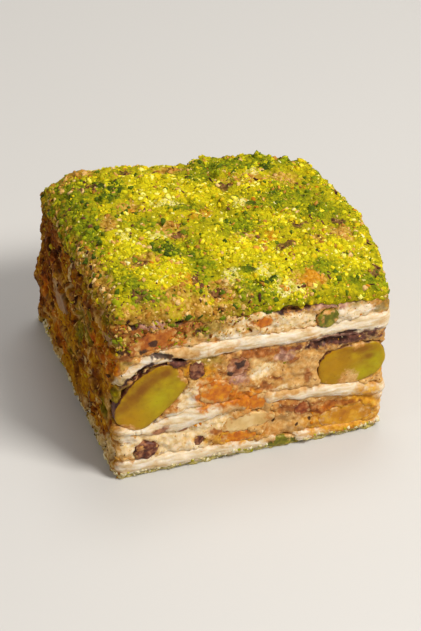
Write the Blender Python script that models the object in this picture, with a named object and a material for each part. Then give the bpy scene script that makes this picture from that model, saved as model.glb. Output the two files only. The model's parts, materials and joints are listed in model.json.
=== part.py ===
"""Cut piece of a layered sweet: fruit and nut paste between ribbons of white nougat, in a coat of ground pistachio.

The piece is a stack of layers that all run through it, from the coat under the base to the coat on top.
Every layer is found from two numbers, across and back, that run from -1 to 1 over the piece's footprint.
Whole nuts and lumps of fruit lie in pockets of the layers and are cut flush where the knife passed.
Lengths are in millimetres until a mesh is made, then metres.
"""

import math
import random

import bmesh
import bpy
from mathutils import Matrix, Vector, noise
from mathutils.bvhtree import BVHTree

MM = 0.001

# Driving dimensions of the cut block
WIDTH = 45.4
DEPTH = 46.4
HEIGHTS = {"front_left": 35.6, "front_right": 30.2, "back_right": 27.9, "back_left": 31.9}
FOOT = {"front_left": (-0.5, -0.4), "front_right": (0.4, 0.0), "back_right": (0.2, 0.0), "back_left": (-1.9, 0.4)}
LEAN = {"front_left": (-0.2, 0.3), "front_right": (0.3, 0.2), "back_right": (4.7, -1.0), "back_left": (0.6, -0.4)}
BLUNT_CORNERS = {"back_right": (-3.4, -3.6), "back_left": (1.2, -1.6)}
RIGHT_BULGE = 2.3
EDGE_ROUNDING = 0.05
LAYER_GAP = 0.3
POCKET_GAP = 0.34

# Thickness of the coats and of the nougat at the base, left to right along the front
COAT = 1.9
BASE_COAT = 1.0
BASE_NOUGAT = ((-1.0, 2.5), (-0.3, 2.3), (0.4, 1.4), (1.0, 1.0))

# Nougat ribbons along the front cut: across, height of the middle, thickness
LOWER_RIBBON = ((-1.0, 10.6, 1.5), (-0.72, 9.3, 2.2), (-0.42, 10.6, 3.5), (-0.1, 11.6, 1.9), (0.5, 10.9, 2.3), (1.0, 8.6, 2.0))
UPPER_RIBBON = ((-1.0, 20.8, 1.9), (-0.72, 24.3, 2.1), (-0.2, 23.9, 2.8), (0.35, 23.1, 2.0), (0.68, 23.3, 3.3), (1.0, 22.9, 3.1))
LOWER_RIBBON_BACK = 10.0
UPPER_RIBBON_BACK = 20.4

# How far the edge of the top is rolled over, and how deep, on each side
ROLL_WIDTH = {"front": 3.4, "right": 3.4, "back": 4.0, "left": 7.0}
ROLL_DROP = {"front": 1.5, "right": 1.9, "back": 2.4, "left": 4.6}

# Points round the outline, and rings of points over each level, from the outline in to the middle
SIDE_RUN = 9
CORNER_RUN = 2
PERIMETER = 4 * (SIDE_RUN + CORNER_RUN)
PLAIN_RINGS = ((1.0, 1), (0.82, 2), (0.48, 4))
ROLLED_RINGS = ((1.0, 1), (0.95, 1), (0.88, 1), (0.7, 2), (0.4, 4))
CRUMBED_RINGS = (
    (1.0, 1), (0.97, 0.5), (0.93, 0.5), (0.87, 0.5), (0.79, 0.5), (0.7, 0.5), (0.6, 1), (0.5, 1), (0.37, 2), (0.22, 4),
)

COLOURS = {
    "pistachio_coat": (0.42, 0.43, 0.05, 1.0),
    "nougat": (0.83, 0.76, 0.62, 1.0),
    "paste": (0.56, 0.38, 0.21, 1.0),
    "kernel": (0.40, 0.34, 0.05, 1.0),
    "currant": (0.07, 0.035, 0.045, 1.0),
    "apricot": (0.62, 0.25, 0.05, 1.0),
    "cashew": (0.66, 0.50, 0.30, 1.0),
    "sliver": (0.16, 0.22, 0.03, 1.0),
}


def clear_scene():
    for thing in list(bpy.data.objects):
        bpy.data.objects.remove(thing)


def material(name, roughness=0.5):
    """The named finish, made once."""
    found = bpy.data.materials.get(name)
    if found:
        return found
    made = bpy.data.materials.new(name)
    made.use_nodes = True
    shader = made.node_tree.nodes["Principled BSDF"]
    shader.inputs["Base Color"].default_value = COLOURS[name]
    shader.inputs["Roughness"].default_value = roughness
    shader.inputs["Metallic"].default_value = 0.0
    return made


def ease(t):
    """A soft step from 0 to 1."""
    t = min(max(t, 0.0), 1.0)
    return t * t * (3.0 - 2.0 * t)


def along(points, across, column=1):
    """A column of a ribbon's points, eased between them."""
    for left, right in zip(points, points[1:]):
        if across <= right[0]:
            share = ease((across - left[0]) / (right[0] - left[0]))
            return left[column] * (1 - share) + right[column] * share
    return points[-1][column]


def lumps(x, y, z, size, seed):
    """Smooth noise from about -1 to 1, with lumps of the given size."""
    return noise.noise(Vector((x / size + seed * 7.3, y / size - seed * 3.1, z / size + seed)))


def between_corners(values, across, back):
    """A value at each corner of the block, spread evenly between them."""
    u = (across + 1) / 2
    v = (back + 1) / 2
    front = values["front_left"] * (1 - u) + values["front_right"] * u
    rear = values["back_left"] * (1 - u) + values["back_right"] * u
    return front * (1 - v) + rear * v


def roll(side, inset, width, drop):
    """How far a rolled edge falls at a distance in from it, as a quarter of an ellipse."""
    if inset >= width:
        return 0.0
    return drop * (1 - math.sqrt(max(0.0, 1 - (1 - inset / width) ** 2)))


def rolled_edge(across, back):
    """Fall of the top at its four edges. The left shoulder gets wider and deeper towards the back."""
    left_growth = 0.55 + 0.45 * ease((back + 1) / 2)
    insets = {
        "front": (back + 1) * DEPTH / 2,
        "back": (1 - back) * DEPTH / 2,
        "left": (across + 1) * WIDTH / 2,
        "right": (1 - across) * WIDTH / 2,
    }
    falls = []
    for side, inset in insets.items():
        growth = left_growth if side == "left" else 1.0
        falls.append(roll(side, inset, ROLL_WIDTH[side] * growth, ROLL_DROP[side] * growth))
    return math.sqrt(sum(fall * fall for fall in falls))


def pillows(across, back):
    """The top's soft swelling, and the dip that runs back from the notch in its front edge."""
    swell = 1.7 * (1 - across**4) * (1 - back**4)
    dip = 1.5 * math.exp(-(((across + 0.2) / 0.17) ** 2)) * ease((-0.1 - back) / 0.7)
    saddle = 1.3 * math.exp(-(((across + 0.05) / 0.22) ** 2)) * ease((back - 0.2) / 0.7)
    return swell - dip - saddle + 0.5 * lumps(across, back, 0, 0.45, 4)


def top_height(across, back):
    """Height of the coat's upper surface, before its crumbs."""
    return between_corners(HEIGHTS, across, back) + pillows(across, back) - rolled_edge(across, back)


def ribbon(points, rear_height, across, back):
    """Lowest and highest point of a nougat ribbon. It follows the front cut, then wanders towards the back."""
    share = ease((back + 1) / 1.5)
    height = along(points, across) * (1 - share) + rear_height * share
    height += 3.0 * math.exp(-(((back + 0.3) / 0.35) ** 2)) * ease((-0.2 - across) / 0.8)
    height += 1.3 * share * lumps(across, back, rear_height, 0.55, 2)
    thickness = along(points, across, 2) * (1 - share) + 2.0 * share
    thickness *= 1 + 0.35 * lumps(across, back, rear_height, 0.4, 6)
    return height - thickness / 2, height + thickness / 2


def level(number, across, back):
    """Height of the boundary below layer number 0 to 7, or of the top, which is number 8."""
    base_nougat = BASE_COAT + along(BASE_NOUGAT, across) * (1 + 0.25 * lumps(across, back, 0, 0.5, 3))
    if number in (3, 4):
        return ribbon(LOWER_RIBBON, LOWER_RIBBON_BACK, across, back)[number - 3]
    if number in (5, 6):
        return ribbon(UPPER_RIBBON, UPPER_RIBBON_BACK, across, back)[number - 5]
    top = top_height(across, back)
    return {0: 0.0, 1: BASE_COAT, 2: base_nougat, 7: top - COAT, 8: top}[number]


def corner_shift(shifts, across, back):
    """A sideways shift given at each corner, spread evenly between them."""
    return Vector([between_corners({k: v[i] for k, v in shifts.items()}, across, back) for i in range(2)])


def spot(across, back, height):
    """The place in the block at a share across and back and at a height. The walls lean and swell unevenly."""
    share = height / 32.0
    place = Vector((across * WIDTH / 2, back * DEPTH / 2)) + corner_shift(FOOT, across, back)
    place += share * corner_shift(LEAN, across, back)
    place += share * ease((across + back - 1.15) / 0.85) * Vector(BLUNT_CORNERS["back_right"])
    place += share * ease((back - across - 1.15) / 0.85) * Vector(BLUNT_CORNERS["back_left"])
    place.x += RIGHT_BULGE * share**2 * ease(across) * math.exp(-(((back + 0.4) / 0.55) ** 2))
    x, y = place
    edge = max(abs(across), abs(back)) ** 6
    swell = 0.55 * lumps(across * 2, back * 2, height / 9, 0.9, 1)
    swell += 0.5 * math.sin(math.pi * min(share, 1.0)) - 0.25
    return Vector((x + swell * edge * across, y + 0.6 * swell * edge * back, height))


def outline():
    """Shares across and back of the points round the block, from the front left corner towards the right."""
    points = []
    run = 1 - EDGE_ROUNDING
    for quarter in range(4):
        turn = Matrix.Rotation(math.radians(90 * quarter), 2)
        for i in range(SIDE_RUN):
            points.append(turn @ Vector((run * (2 * i / (SIDE_RUN - 1) - 1), -1)))
        for i in range(CORNER_RUN):
            angle = math.radians(90 * (i + 1) / (CORNER_RUN + 1) - 90)
            points.append(turn @ Vector((run + EDGE_ROUNDING * math.cos(angle), -run + EDGE_ROUNDING * math.sin(angle))))
    return points


def ring_points(rim, scale, stride):
    """The outline drawn in towards the middle. A stride of 2 takes every other point, and 0.5 adds one between each."""
    if stride < 1:
        rim = [p for a, b in zip(rim, rim[1:] + rim[:1]) for p in (a, (a + b) / 2)]
        stride = 1
    return [point * scale for point in rim[:: int(stride)]]


def join_rings(mesh, outer, inner, upward):
    """Triangles between two rings of points, where one may have twice the points of the other."""
    def face(*corners):
        mesh.faces.new(corners if upward else corners[::-1])

    if len(outer) == len(inner):
        for i in range(len(outer)):
            j = (i + 1) % len(outer)
            face(outer[i], outer[j], inner[j])
            face(outer[i], inner[j], inner[i])
    elif len(outer) > len(inner):
        for i in range(len(inner)):
            j = (i + 1) % len(inner)
            first, middle, last = (outer[(2 * i + k) % len(outer)] for k in range(3))
            face(first, middle, inner[i])
            face(middle, inner[j], inner[i])
            face(middle, last, inner[j])
    else:
        for i in range(len(outer)):
            j = (i + 1) % len(outer)
            first, middle, last = (inner[(2 * i + k) % len(inner)] for k in range(3))
            face(outer[i], middle, first)
            face(outer[i], outer[j], middle)
            face(outer[j], last, middle)


def add_level(mesh, rim, rings, place, upward):
    """One boundary of a layer as a closed disc of triangles. It returns the points of its outer ring."""
    loops = [[mesh.verts.new(place(p) * MM) for p in ring_points(rim, scale, stride)] for scale, stride in rings]
    for outer, inner in zip(loops, loops[1:]):
        join_rings(mesh, outer, inner, upward)
    middle = mesh.verts.new(place(Vector((0, 0))) * MM)
    last = loops[-1]
    for a, b in zip(last, last[1:] + last[:1]):
        mesh.faces.new((a, b, middle) if upward else (b, a, middle))
    return loops[0]


def wall_row(mesh, rim, low, high, share, relief, seed):
    """A row of points round a layer's wall, between its two boundaries, with crags on a rough layer."""
    row = []
    for point in rim:
        height = low(point) * (1 - share) + high(point) * share
        place = spot(point.x, point.y, height)
        outward = Vector((place.x, place.y, 0)).normalized()
        crag = lumps(place.x, place.y, place.z, 2.6, seed) + 0.5 * lumps(place.x, place.y, place.z, 1.3, seed)
        swell = 0.5 if relief < 0.2 else 0.0
        row.append(mesh.verts.new((place + outward * (relief * crag + swell * math.sin(math.pi * share) * 0.6)) * MM))
    return row


def finish_object(name, mesh, finish):
    """A named object from a mesh in metres, with its faces pointing out."""
    bmesh.ops.recalc_face_normals(mesh, faces=mesh.faces)
    if mesh.calc_volume(signed=True) < 0:
        bmesh.ops.reverse_faces(mesh, faces=mesh.faces)
    data = bpy.data.meshes.new(name)
    mesh.to_mesh(data)
    mesh.free()
    data.materials.append(material(finish))
    made = bpy.data.objects.new(name, data)
    bpy.context.scene.collection.objects.link(made)
    return made


def layer(name, number, finish, rows, relief, bottom_rings=PLAIN_RINGS, top_rings=PLAIN_RINGS, crumb=0.0):
    """One layer through the whole block, from boundary number to the next, less half a gap at each."""
    rim = outline()
    bottom_gap = 0 if number == 0 else LAYER_GAP / 2
    top_gap = 0 if number == 7 else LAYER_GAP / 2

    def low(point):
        return level(number, point.x, point.y) + bottom_gap

    def high(point):
        height = level(number + 1, point.x, point.y) - top_gap
        return height + crumb * lumps(point.x * WIDTH, point.y * DEPTH, 0, 2.2, 9)

    mesh = bmesh.new()
    bottom = add_level(mesh, rim, bottom_rings, lambda p: spot(p.x, p.y, low(p)), upward=False)
    top = add_level(mesh, rim, top_rings, lambda p: spot(p.x, p.y, high(p)), upward=True)
    walls = [wall_row(mesh, rim, low, high, i / rows, relief, number) for i in range(1, rows)]
    loops = [bottom, *walls, top]
    for lower, upper in zip(loops, loops[1:]):
        join_rings(mesh, lower, upper, upward=True)
    return finish_object(name, mesh, finish)


def wall_place(side, run, height):
    """A point on one of the four walls. Run goes from -1 to 1, left to right as the wall is looked at."""
    shares = {"front": (run, -1), "right": (1, run), "back": (-run, 1), "left": (-1, -run)}[side]
    return spot(*shares, height)


def wall_axes(side):
    """Along the wall to the right, and out of it, as it is looked at."""
    turn = {"front": 0, "right": 90, "back": 180, "left": 270}[side]
    rotation = Matrix.Rotation(math.radians(turn), 3, "Z")
    return rotation @ Vector((1, 0, 0)), rotation @ Vector((0, -1, 0))


def lump_mesh(radii, tilt, side, centre, fine, seed, grow=0.0):
    """An uneven rounded lump in a wall: radii along the wall, out of it and up it, turned by tilt in its plane."""
    right, out = wall_axes(side)
    mesh = bmesh.new()
    bmesh.ops.create_icosphere(mesh, subdivisions=fine, radius=1.0)
    for vert in mesh.verts:
        dent = 1 + 0.14 * lumps(vert.co.x, vert.co.y, vert.co.z, 0.8, seed)
        square = max(abs(value) for value in vert.co) ** 0.25
        local = Vector([vert.co[i] * dent / square * (radii[i] + grow) for i in range(3)])
        turned = Matrix.Rotation(math.radians(-tilt), 3, "Y") @ local
        vert.co = centre + right * turned.x + out * -turned.y + Vector((0, 0, turned.z))
    return mesh


def cut_flush(mesh, side, centre, proud):
    """Draws in what stands out of the wall, as the knife left it, and lets it stand proud by a hair."""
    _, out = wall_axes(side)
    limit = centre.dot(out) + proud
    for vert in mesh.verts:
        beyond = vert.co.dot(out) - limit
        if beyond > 0:
            vert.co -= out * beyond * 0.93


def inclusion(name, finish, side, run, height, radii, tilt=0.0, depth=0.0, fine=2, proud=0.15):
    """A nut or lump of fruit, and the pocket for it. Depth moves its middle into the block."""
    seed = sum(map(ord, name)) % 97
    face = wall_place(side, run, height)
    _, out = wall_axes(side)
    centre = face - out * depth
    body = lump_mesh(radii, tilt, side, centre, fine, seed)
    cut_flush(body, side, face, proud)
    pocket = lump_mesh(radii, tilt, side, centre, fine, seed, grow=POCKET_GAP)
    for mesh in (body, pocket):
        for vert in mesh.verts:
            vert.co *= MM
    finish_object(name, body, finish)
    cutter = finish_object("pocket_" + name, pocket, finish)
    cutter.hide_render = True
    cutter.display_type = "WIRE"
    return cutter


def surface_tree(thing):
    """The surface of an object that sits at the origin, as a tree that can be tested against another."""
    mesh = bmesh.new()
    mesh.from_mesh(thing.data)
    tree = BVHTree.FromBMesh(mesh)
    mesh.free()
    return tree


def cut_pockets(block, pockets):
    """Takes from each layer the pockets whose surface crosses its own."""
    pocket_trees = [(cutter, surface_tree(cutter)) for cutter in pockets]
    for piece in block:
        piece_tree = surface_tree(piece)
        for cutter, tree in pocket_trees:
            if not piece_tree.overlap(tree):
                continue
            cut = piece.modifiers.new(cutter.name, "BOOLEAN")
            cut.operation = "DIFFERENCE"
            cut.object = cutter


def crumb(draw, across, back):
    """A ground nut crumb, half sunk in the coat."""
    mesh = bmesh.new()
    bmesh.ops.create_icosphere(mesh, subdivisions=1, radius=1.0)
    size = draw.uniform(0.75, 1.35)
    turn = Matrix.Rotation(draw.uniform(0, math.pi), 3, "Z")
    place = spot(across, back, level(8, across, back))
    for vert in mesh.verts:
        flat = Vector((vert.co.x, vert.co.y * draw.uniform(0.6, 0.8), vert.co.z * 0.6)) * size
        vert.co = (place + turn @ flat) * MM
    return finish_object("crumb", mesh, "pistachio_coat")


def fuse_crumbs(coat, columns, rows):
    """Larger crumbs, spread evenly over the coat with a little play and joined to it."""
    draw = random.Random(5)
    group = bpy.data.collections.new("crumbs")
    for i in range(columns):
        for j in range(rows):
            across = ((i + draw.uniform(0.15, 0.85)) / columns * 2 - 1) * 0.91
            back = ((j + draw.uniform(0.15, 0.85)) / rows * 2 - 1) * 0.91
            piece = crumb(draw, across, back)
            bpy.context.scene.collection.objects.unlink(piece)
            group.objects.link(piece)
    join = coat.modifiers.new("crumbs", "BOOLEAN")
    join.operation = "UNION"
    join.operand_type = "COLLECTION"
    join.collection = group
    bpy.context.view_layer.update()
    graph = bpy.context.evaluated_depsgraph_get()
    coat.data = bpy.data.meshes.new_from_object(coat.evaluated_get(graph))
    coat.modifiers.clear()
    for piece in list(group.objects):
        bpy.data.objects.remove(piece)
    bpy.data.collections.remove(group)


def build_layers():
    """The eight layers, from the board up."""
    block = [
        layer("base_coat", 0, "pistachio_coat", rows=1, relief=0.0),
        layer("base_nougat", 1, "nougat", rows=2, relief=0.1),
        layer("lower_filling", 2, "paste", rows=3, relief=0.4),
        layer("lower_ribbon", 3, "nougat", rows=2, relief=0.1),
        layer("middle_filling", 4, "paste", rows=4, relief=0.4),
        layer("upper_ribbon", 5, "nougat", rows=2, relief=0.1),
        layer("upper_filling", 6, "paste", rows=3, relief=0.4, top_rings=ROLLED_RINGS),
    ]
    coat = layer(
        "top_coat", 7, "pistachio_coat", rows=2, relief=0.3,
        bottom_rings=ROLLED_RINGS, top_rings=CRUMBED_RINGS, crumb=0.35,
    )
    fuse_crumbs(coat, columns=8, rows=7)
    return [*block, coat]


def build_front_pieces():
    """What the front cut shows, left to right."""
    return [
        inclusion("kernel_front_left", "kernel", "front", -0.735, 16.5, (7.0, 4.6, 4.4), tilt=46, depth=0.6, fine=3),
        inclusion("kernel_front_right", "kernel", "front", 0.75, 15.1, (6.0, 4.4, 4.1), tilt=4, depth=0.8, fine=3),
        inclusion("currant_low_left", "currant", "front", -0.79, 5.6, (2.0, 1.7, 1.7), depth=0.3, proud=0.7),
        inclusion("currant_by_kernel", "currant", "front", -0.40, 20.4, (1.3, 1.4, 1.7), depth=0.3, proud=0.5),
        inclusion("currant_low_middle", "currant", "front", -0.38, 5.2, (1.1, 0.8, 0.7), tilt=20, depth=0.2),
        inclusion("currant_middle", "currant", "front", -0.1, 19.3, (2.0, 1.5, 1.9), tilt=20, depth=0.3),
        inclusion("apricot_middle_left", "apricot", "front", -0.26, 15.0, (3.0, 2.0, 2.1), tilt=-20, depth=0.3),
        inclusion("apricot_middle", "apricot", "front", 0.05, 11.0, (1.8, 1.5, 1.6), depth=0.3),
        inclusion("apricot_upper_left", "apricot", "front", -0.70, 28.2, (3.9, 1.9, 1.7), tilt=12, depth=0.3, proud=0.5),
        inclusion("apricot_upper_middle", "apricot", "front", 0.09, 27.5, (1.4, 1.2, 0.9), depth=0.2),
        inclusion("green_bit_upper", "sliver", "front", 0.55, 25.9, (1.9, 1.5, 1.3), tilt=15, depth=0.3, proud=0.5),
        inclusion("green_sliver_base", "sliver", "front", 0.24, 1.45, (2.9, 1.2, 0.7), depth=0.2),
        inclusion("cashew_low_middle", "cashew", "front", -0.02, 7.2, (4.7, 2.4, 1.5), tilt=4, depth=0.3),
        inclusion("apricot_low_middle", "apricot", "front", -0.08, 4.3, (3.4, 1.6, 1.0), tilt=-2, depth=0.3),
        inclusion("cherry_low_right", "currant", "front", 0.4, 7.6, (1.6, 1.3, 1.2), depth=0.3),
        inclusion("apricot_low_right", "apricot", "front", 0.74, 4.3, (5.0, 2.8, 2.0), tilt=2, depth=0.5, proud=0.4),
    ]


def build_side_pieces():
    """What the other three sides show, of the same kinds. The left one is dusted over."""
    return [
        inclusion("kernel_right_wall", "kernel", "right", -0.3, 18.0, (5.6, 4.2, 3.8), tilt=-25, depth=0.8),
        inclusion("kernel_back", "kernel", "back", -0.35, 15.6, (6.4, 4.2, 3.7), tilt=18, depth=0.8),
        inclusion("currant_right_low", "currant", "right", -0.62, 6.2, (2.1, 1.6, 1.7), depth=0.3, proud=0.4),
        inclusion("currant_right_high", "currant", "right", 0.2, 19.4, (1.8, 1.5, 1.6), depth=0.3),
        inclusion("apricot_right", "apricot", "right", 0.55, 15.2, (3.6, 2.2, 2.2), tilt=14, depth=0.4),
        inclusion("cashew_right", "cashew", "right", 0.1, 6.6, (4.4, 2.3, 1.6), tilt=-5, depth=0.3),
        inclusion("apricot_back", "apricot", "back", 0.3, 6.3, (3.8, 2.2, 1.7), tilt=-7, depth=0.4),
        inclusion("currant_back", "currant", "back", 0.42, 16.0, (1.9, 1.6, 1.7), depth=0.3, proud=0.4),
        inclusion("apricot_left", "apricot", "left", -0.25, 16.0, (3.4, 1.8, 1.5), tilt=10, depth=0.3),
        inclusion("currant_left", "currant", "left", 0.42, 6.4, (1.8, 1.5, 1.5), depth=0.3),
    ]


def centre_on_base(pieces):
    """Moves the whole piece so that the origin is the middle of its base."""
    bpy.context.view_layer.update()
    graph = bpy.context.evaluated_depsgraph_get()
    corners = []
    for piece in pieces:
        corners += [Vector(corner) for corner in piece.evaluated_get(graph).bound_box]
    middle = Vector([(min(c[i] for c in corners) + max(c[i] for c in corners)) / 2 for i in range(3)])
    shift = Matrix.Translation((-middle.x, -middle.y, -min(c.z for c in corners)))
    for thing in bpy.data.objects:
        thing.data.transform(shift)


def build():
    clear_scene()
    block = build_layers()
    pockets = build_front_pieces() + build_side_pieces()
    cut_pockets(block, pockets)
    centre_on_base([thing for thing in bpy.data.objects if not thing.hide_render])


build()
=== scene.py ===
# %% [markdown]
# # A cut piece of layered pistachio sweet
#
# The real thing is a block about 5 cm across, cut by hand from a slab. Ribbons of white nougat run
# through a beige paste of nuts and fruit, whole pistachios show where the knife passed, and ground
# pistachio coats the top. This lesson dresses the plain solids of the part, which are loaded as a fixed
# frame, with that surface. Each solid is copied, made fine, given its crags and crumbs, and then stands
# in for the plain one.

# %% Load the frame
import json
import math
import random

import bmesh
import bpy
import numpy as np
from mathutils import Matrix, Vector, noise
from mathutils.bvhtree import BVHTree

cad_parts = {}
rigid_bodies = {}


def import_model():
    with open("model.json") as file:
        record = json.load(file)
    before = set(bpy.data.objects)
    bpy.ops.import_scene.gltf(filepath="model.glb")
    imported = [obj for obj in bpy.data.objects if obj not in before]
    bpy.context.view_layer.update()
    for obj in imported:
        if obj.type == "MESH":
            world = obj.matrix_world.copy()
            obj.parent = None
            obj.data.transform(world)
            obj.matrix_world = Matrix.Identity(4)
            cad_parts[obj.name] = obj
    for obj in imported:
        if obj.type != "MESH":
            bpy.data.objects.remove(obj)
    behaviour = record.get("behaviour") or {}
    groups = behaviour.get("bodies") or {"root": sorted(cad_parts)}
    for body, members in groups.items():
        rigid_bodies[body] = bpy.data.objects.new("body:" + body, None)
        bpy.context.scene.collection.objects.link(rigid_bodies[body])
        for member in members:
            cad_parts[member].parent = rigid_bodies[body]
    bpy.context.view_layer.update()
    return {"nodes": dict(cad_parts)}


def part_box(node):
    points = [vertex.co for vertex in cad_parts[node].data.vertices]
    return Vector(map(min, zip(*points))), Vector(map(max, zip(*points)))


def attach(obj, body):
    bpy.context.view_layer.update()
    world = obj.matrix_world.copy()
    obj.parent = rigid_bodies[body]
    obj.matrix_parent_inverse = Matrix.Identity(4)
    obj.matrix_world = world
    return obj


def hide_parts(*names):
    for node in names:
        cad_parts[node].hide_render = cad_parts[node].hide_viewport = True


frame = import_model()
MM = 0.001
print("The frame has", len(frame["nodes"]), "solids")

# %% [markdown]
# ## Small helpers
#
# A solid of the frame is loose triangles, so a copy of it is merged before anything else is done to it.
# Modifiers make the shapes, and `settle` turns what they show into a plain mesh and takes them off.

# %% Copies and plain meshes
scene = bpy.context.scene


def merged_copy(node, name):
    """A copy of a frame solid, with its triangles joined at their corners."""
    mesh = frame["nodes"][node].data.copy()
    work = bmesh.new()
    work.from_mesh(mesh)
    bmesh.ops.remove_doubles(work, verts=work.verts, dist=0.002 * MM)
    work.to_mesh(mesh)
    work.free()
    mesh.materials.clear()
    mesh.name = name
    piece = bpy.data.objects.new(name, mesh)
    scene.collection.objects.link(piece)
    return piece


def settle(piece):
    """Makes the shape that the modifiers show the piece's own mesh."""
    bpy.context.view_layer.update()
    shown = piece.evaluated_get(bpy.context.evaluated_depsgraph_get())
    mesh = bpy.data.meshes.new_from_object(shown)
    piece.modifiers.clear()
    old = piece.data
    piece.data = mesh
    mesh.name = piece.name
    bpy.data.meshes.remove(old)
    return piece


def corner_places(mesh):
    """The mesh's points as rows of x, y, z in millimetres."""
    places = np.empty(len(mesh.vertices) * 3, np.float32)
    mesh.vertices.foreach_get("co", places)
    return places.reshape(-1, 3) / MM


def corner_normals(mesh):
    """The way the surface faces at each of the mesh's points."""
    normals = np.empty(len(mesh.vertices) * 3, np.float32)
    mesh.vertex_normals.foreach_get("vector", normals)
    return normals.reshape(-1, 3)


def soft_step(low, high, values):
    """0 below low, 1 above high and a smooth rise between."""
    share = np.clip((values - low) / (high - low), 0, 1)
    return share * share * (3 - 2 * share)


def store(mesh, name, values):
    """Keeps one number for each point of a mesh, for a material or a node tree to read."""
    layer = mesh.attributes.get(name) or mesh.attributes.new(name, "FLOAT", "POINT")
    layer.data.foreach_set("value", np.asarray(values, np.float32))


def clouds(places, size, seed):
    """Cloudy noise from 0 to 1 with lumps of a size in millimetres."""
    shift = Vector((seed * 7.3, seed * 3.1, seed * 5.7))
    values = [noise.noise(Vector(place) + shift) for place in (places / size).tolist()]
    return np.array(values, np.float32) * 0.5 + 0.5


print("Helpers ready")

# %% [markdown]
# ## Colours
#
# The colours were read off the photograph as screen colours. Blender's shaders work with linear light, so
# `tone` changes one into the other. Gloss and sky light add a little white to whatever they fall on, so
# `tone` also makes each colour a bit deeper and stronger than it was read. A little finish kit builds the
# nodes that all the materials share: noise on Object coordinates, which are the same as the part's own
# millimetres, and ramps from value to colour.

# %% Colour and material kit


DEEPER, STRONGER = 0.93, 1.16


def tone(code):
    """A screen colour such as C2B228 as linear red, green, blue and alpha."""
    parts = [int(code[i : i + 2], 16) / 255 for i in (0, 2, 4)]
    linear = [p / 12.92 if p <= 0.04045 else ((p + 0.055) / 1.055) ** 2.4 for p in parts]
    grey = sum(linear) / 3
    strong = [grey + (p - grey) * STRONGER for p in linear]
    return (*(min(max(p * DEEPER, 0.003), 1.0) for p in strong), 1.0)


class Finish:
    """A material under construction, with short ways to add the nodes that a food surface needs."""

    def __init__(self, name, roughness=0.6, soft=0.0, soft_depth=0.6, specular=0.4):
        self.material = bpy.data.materials.new(name)
        self.material.use_nodes = True
        self.nodes = self.material.node_tree.nodes
        self.links = self.material.node_tree.links
        self.shader = self.nodes["Principled BSDF"]
        self.shader.inputs["Roughness"].default_value = roughness
        self.shader.inputs["Specular IOR Level"].default_value = specular
        self.shader.inputs["Subsurface Weight"].default_value = soft
        self.shader.inputs["Subsurface Radius"].default_value = (1.0, 0.6, 0.3)
        self.shader.inputs["Subsurface Scale"].default_value = soft_depth * MM
        self.place = self.nodes.new("ShaderNodeTexCoord").outputs["Object"]

    def stretched(self, x, y, z):
        """The place, squeezed so that a pattern is longer along the axes with a small number."""
        node = self.nodes.new("ShaderNodeMapping")
        node.inputs["Scale"].default_value = (x, y, z)
        self.links.new(self.place, node.inputs["Vector"])
        return node.outputs["Vector"]

    def noise(self, size, detail=3.0, place=None, shift=0.0, wander=0.0):
        """Cloudy noise with lumps of a size in millimetres."""
        node = self.nodes.new("ShaderNodeTexNoise")
        node.noise_dimensions = "4D"
        node.inputs["W"].default_value = shift
        node.inputs["Scale"].default_value = 1 / (size * MM)
        node.inputs["Detail"].default_value = detail
        node.inputs["Distortion"].default_value = wander
        self.links.new(place or self.place, node.inputs["Vector"])
        return node.outputs["Fac"]

    def attribute(self, name):
        node = self.nodes.new("ShaderNodeAttribute")
        node.attribute_name = name
        return node.outputs["Fac"]

    def ramp(self, value, *stops):
        """Colours at places from 0 to 1 along a value."""
        node = self.nodes.new("ShaderNodeValToRGB")
        band = node.color_ramp
        band.elements[0].position, band.elements[0].color = stops[0]
        band.elements[1].position, band.elements[1].color = stops[-1]
        for position, colour in stops[1:-1]:
            band.elements.new(position).color = colour
        self.links.new(value, node.inputs["Fac"])
        return node.outputs["Color"]

    def between(self, value, low, high, out_low=0.0, out_high=1.0):
        """The value spread from low..high to out_low..out_high, held at the ends."""
        node = self.nodes.new("ShaderNodeMapRange")
        ends = {"From Min": low, "From Max": high, "To Min": out_low, "To Max": out_high}
        for name, number in ends.items():
            node.inputs[name].default_value = number
        self.links.new(value, node.inputs["Value"])
        return node.outputs["Result"]

    def sum(self, operation, first, second):
        """Two values joined by ADD, MULTIPLY and so on."""
        node = self.nodes.new("ShaderNodeMath")
        node.operation = operation
        for socket, value in zip(node.inputs, (first, second)):
            if isinstance(value, (int, float)):
                socket.default_value = value
            else:
                self.links.new(value, socket)
        return node.outputs["Value"]

    def mix(self, share, first, second):
        """The second colour laid over the first, by a share."""
        node = self.nodes.new("ShaderNodeMix")
        node.data_type = "RGBA"
        for socket, value in zip((node.inputs[0], node.inputs[6], node.inputs[7]), (share, first, second)):
            if isinstance(value, (int, float, tuple)):
                socket.default_value = value
            else:
                self.links.new(value, socket)
        return node.outputs[2]

    def axis(self, name):
        """How far along X, Y or Z, in metres."""
        node = self.nodes.new("ShaderNodeSeparateXYZ")
        self.links.new(self.place, node.inputs["Vector"])
        return node.outputs[name]

    def colour(self, source):
        self.links.new(source, self.shader.inputs["Base Color"])

    def rough(self, source):
        self.links.new(source, self.shader.inputs["Roughness"])

    def bump(self, height, depth):
        """Fine relief, with a depth in millimetres."""
        node = self.nodes.new("ShaderNodeBump")
        node.inputs["Distance"].default_value = depth * MM
        node.inputs["Strength"].default_value = 1.0
        self.links.new(height, node.inputs["Height"])
        self.links.new(node.outputs["Normal"], self.shader.inputs["Normal"])


print("Colour C2B228 is", [round(part, 3) for part in tone("C2B228")])

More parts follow.
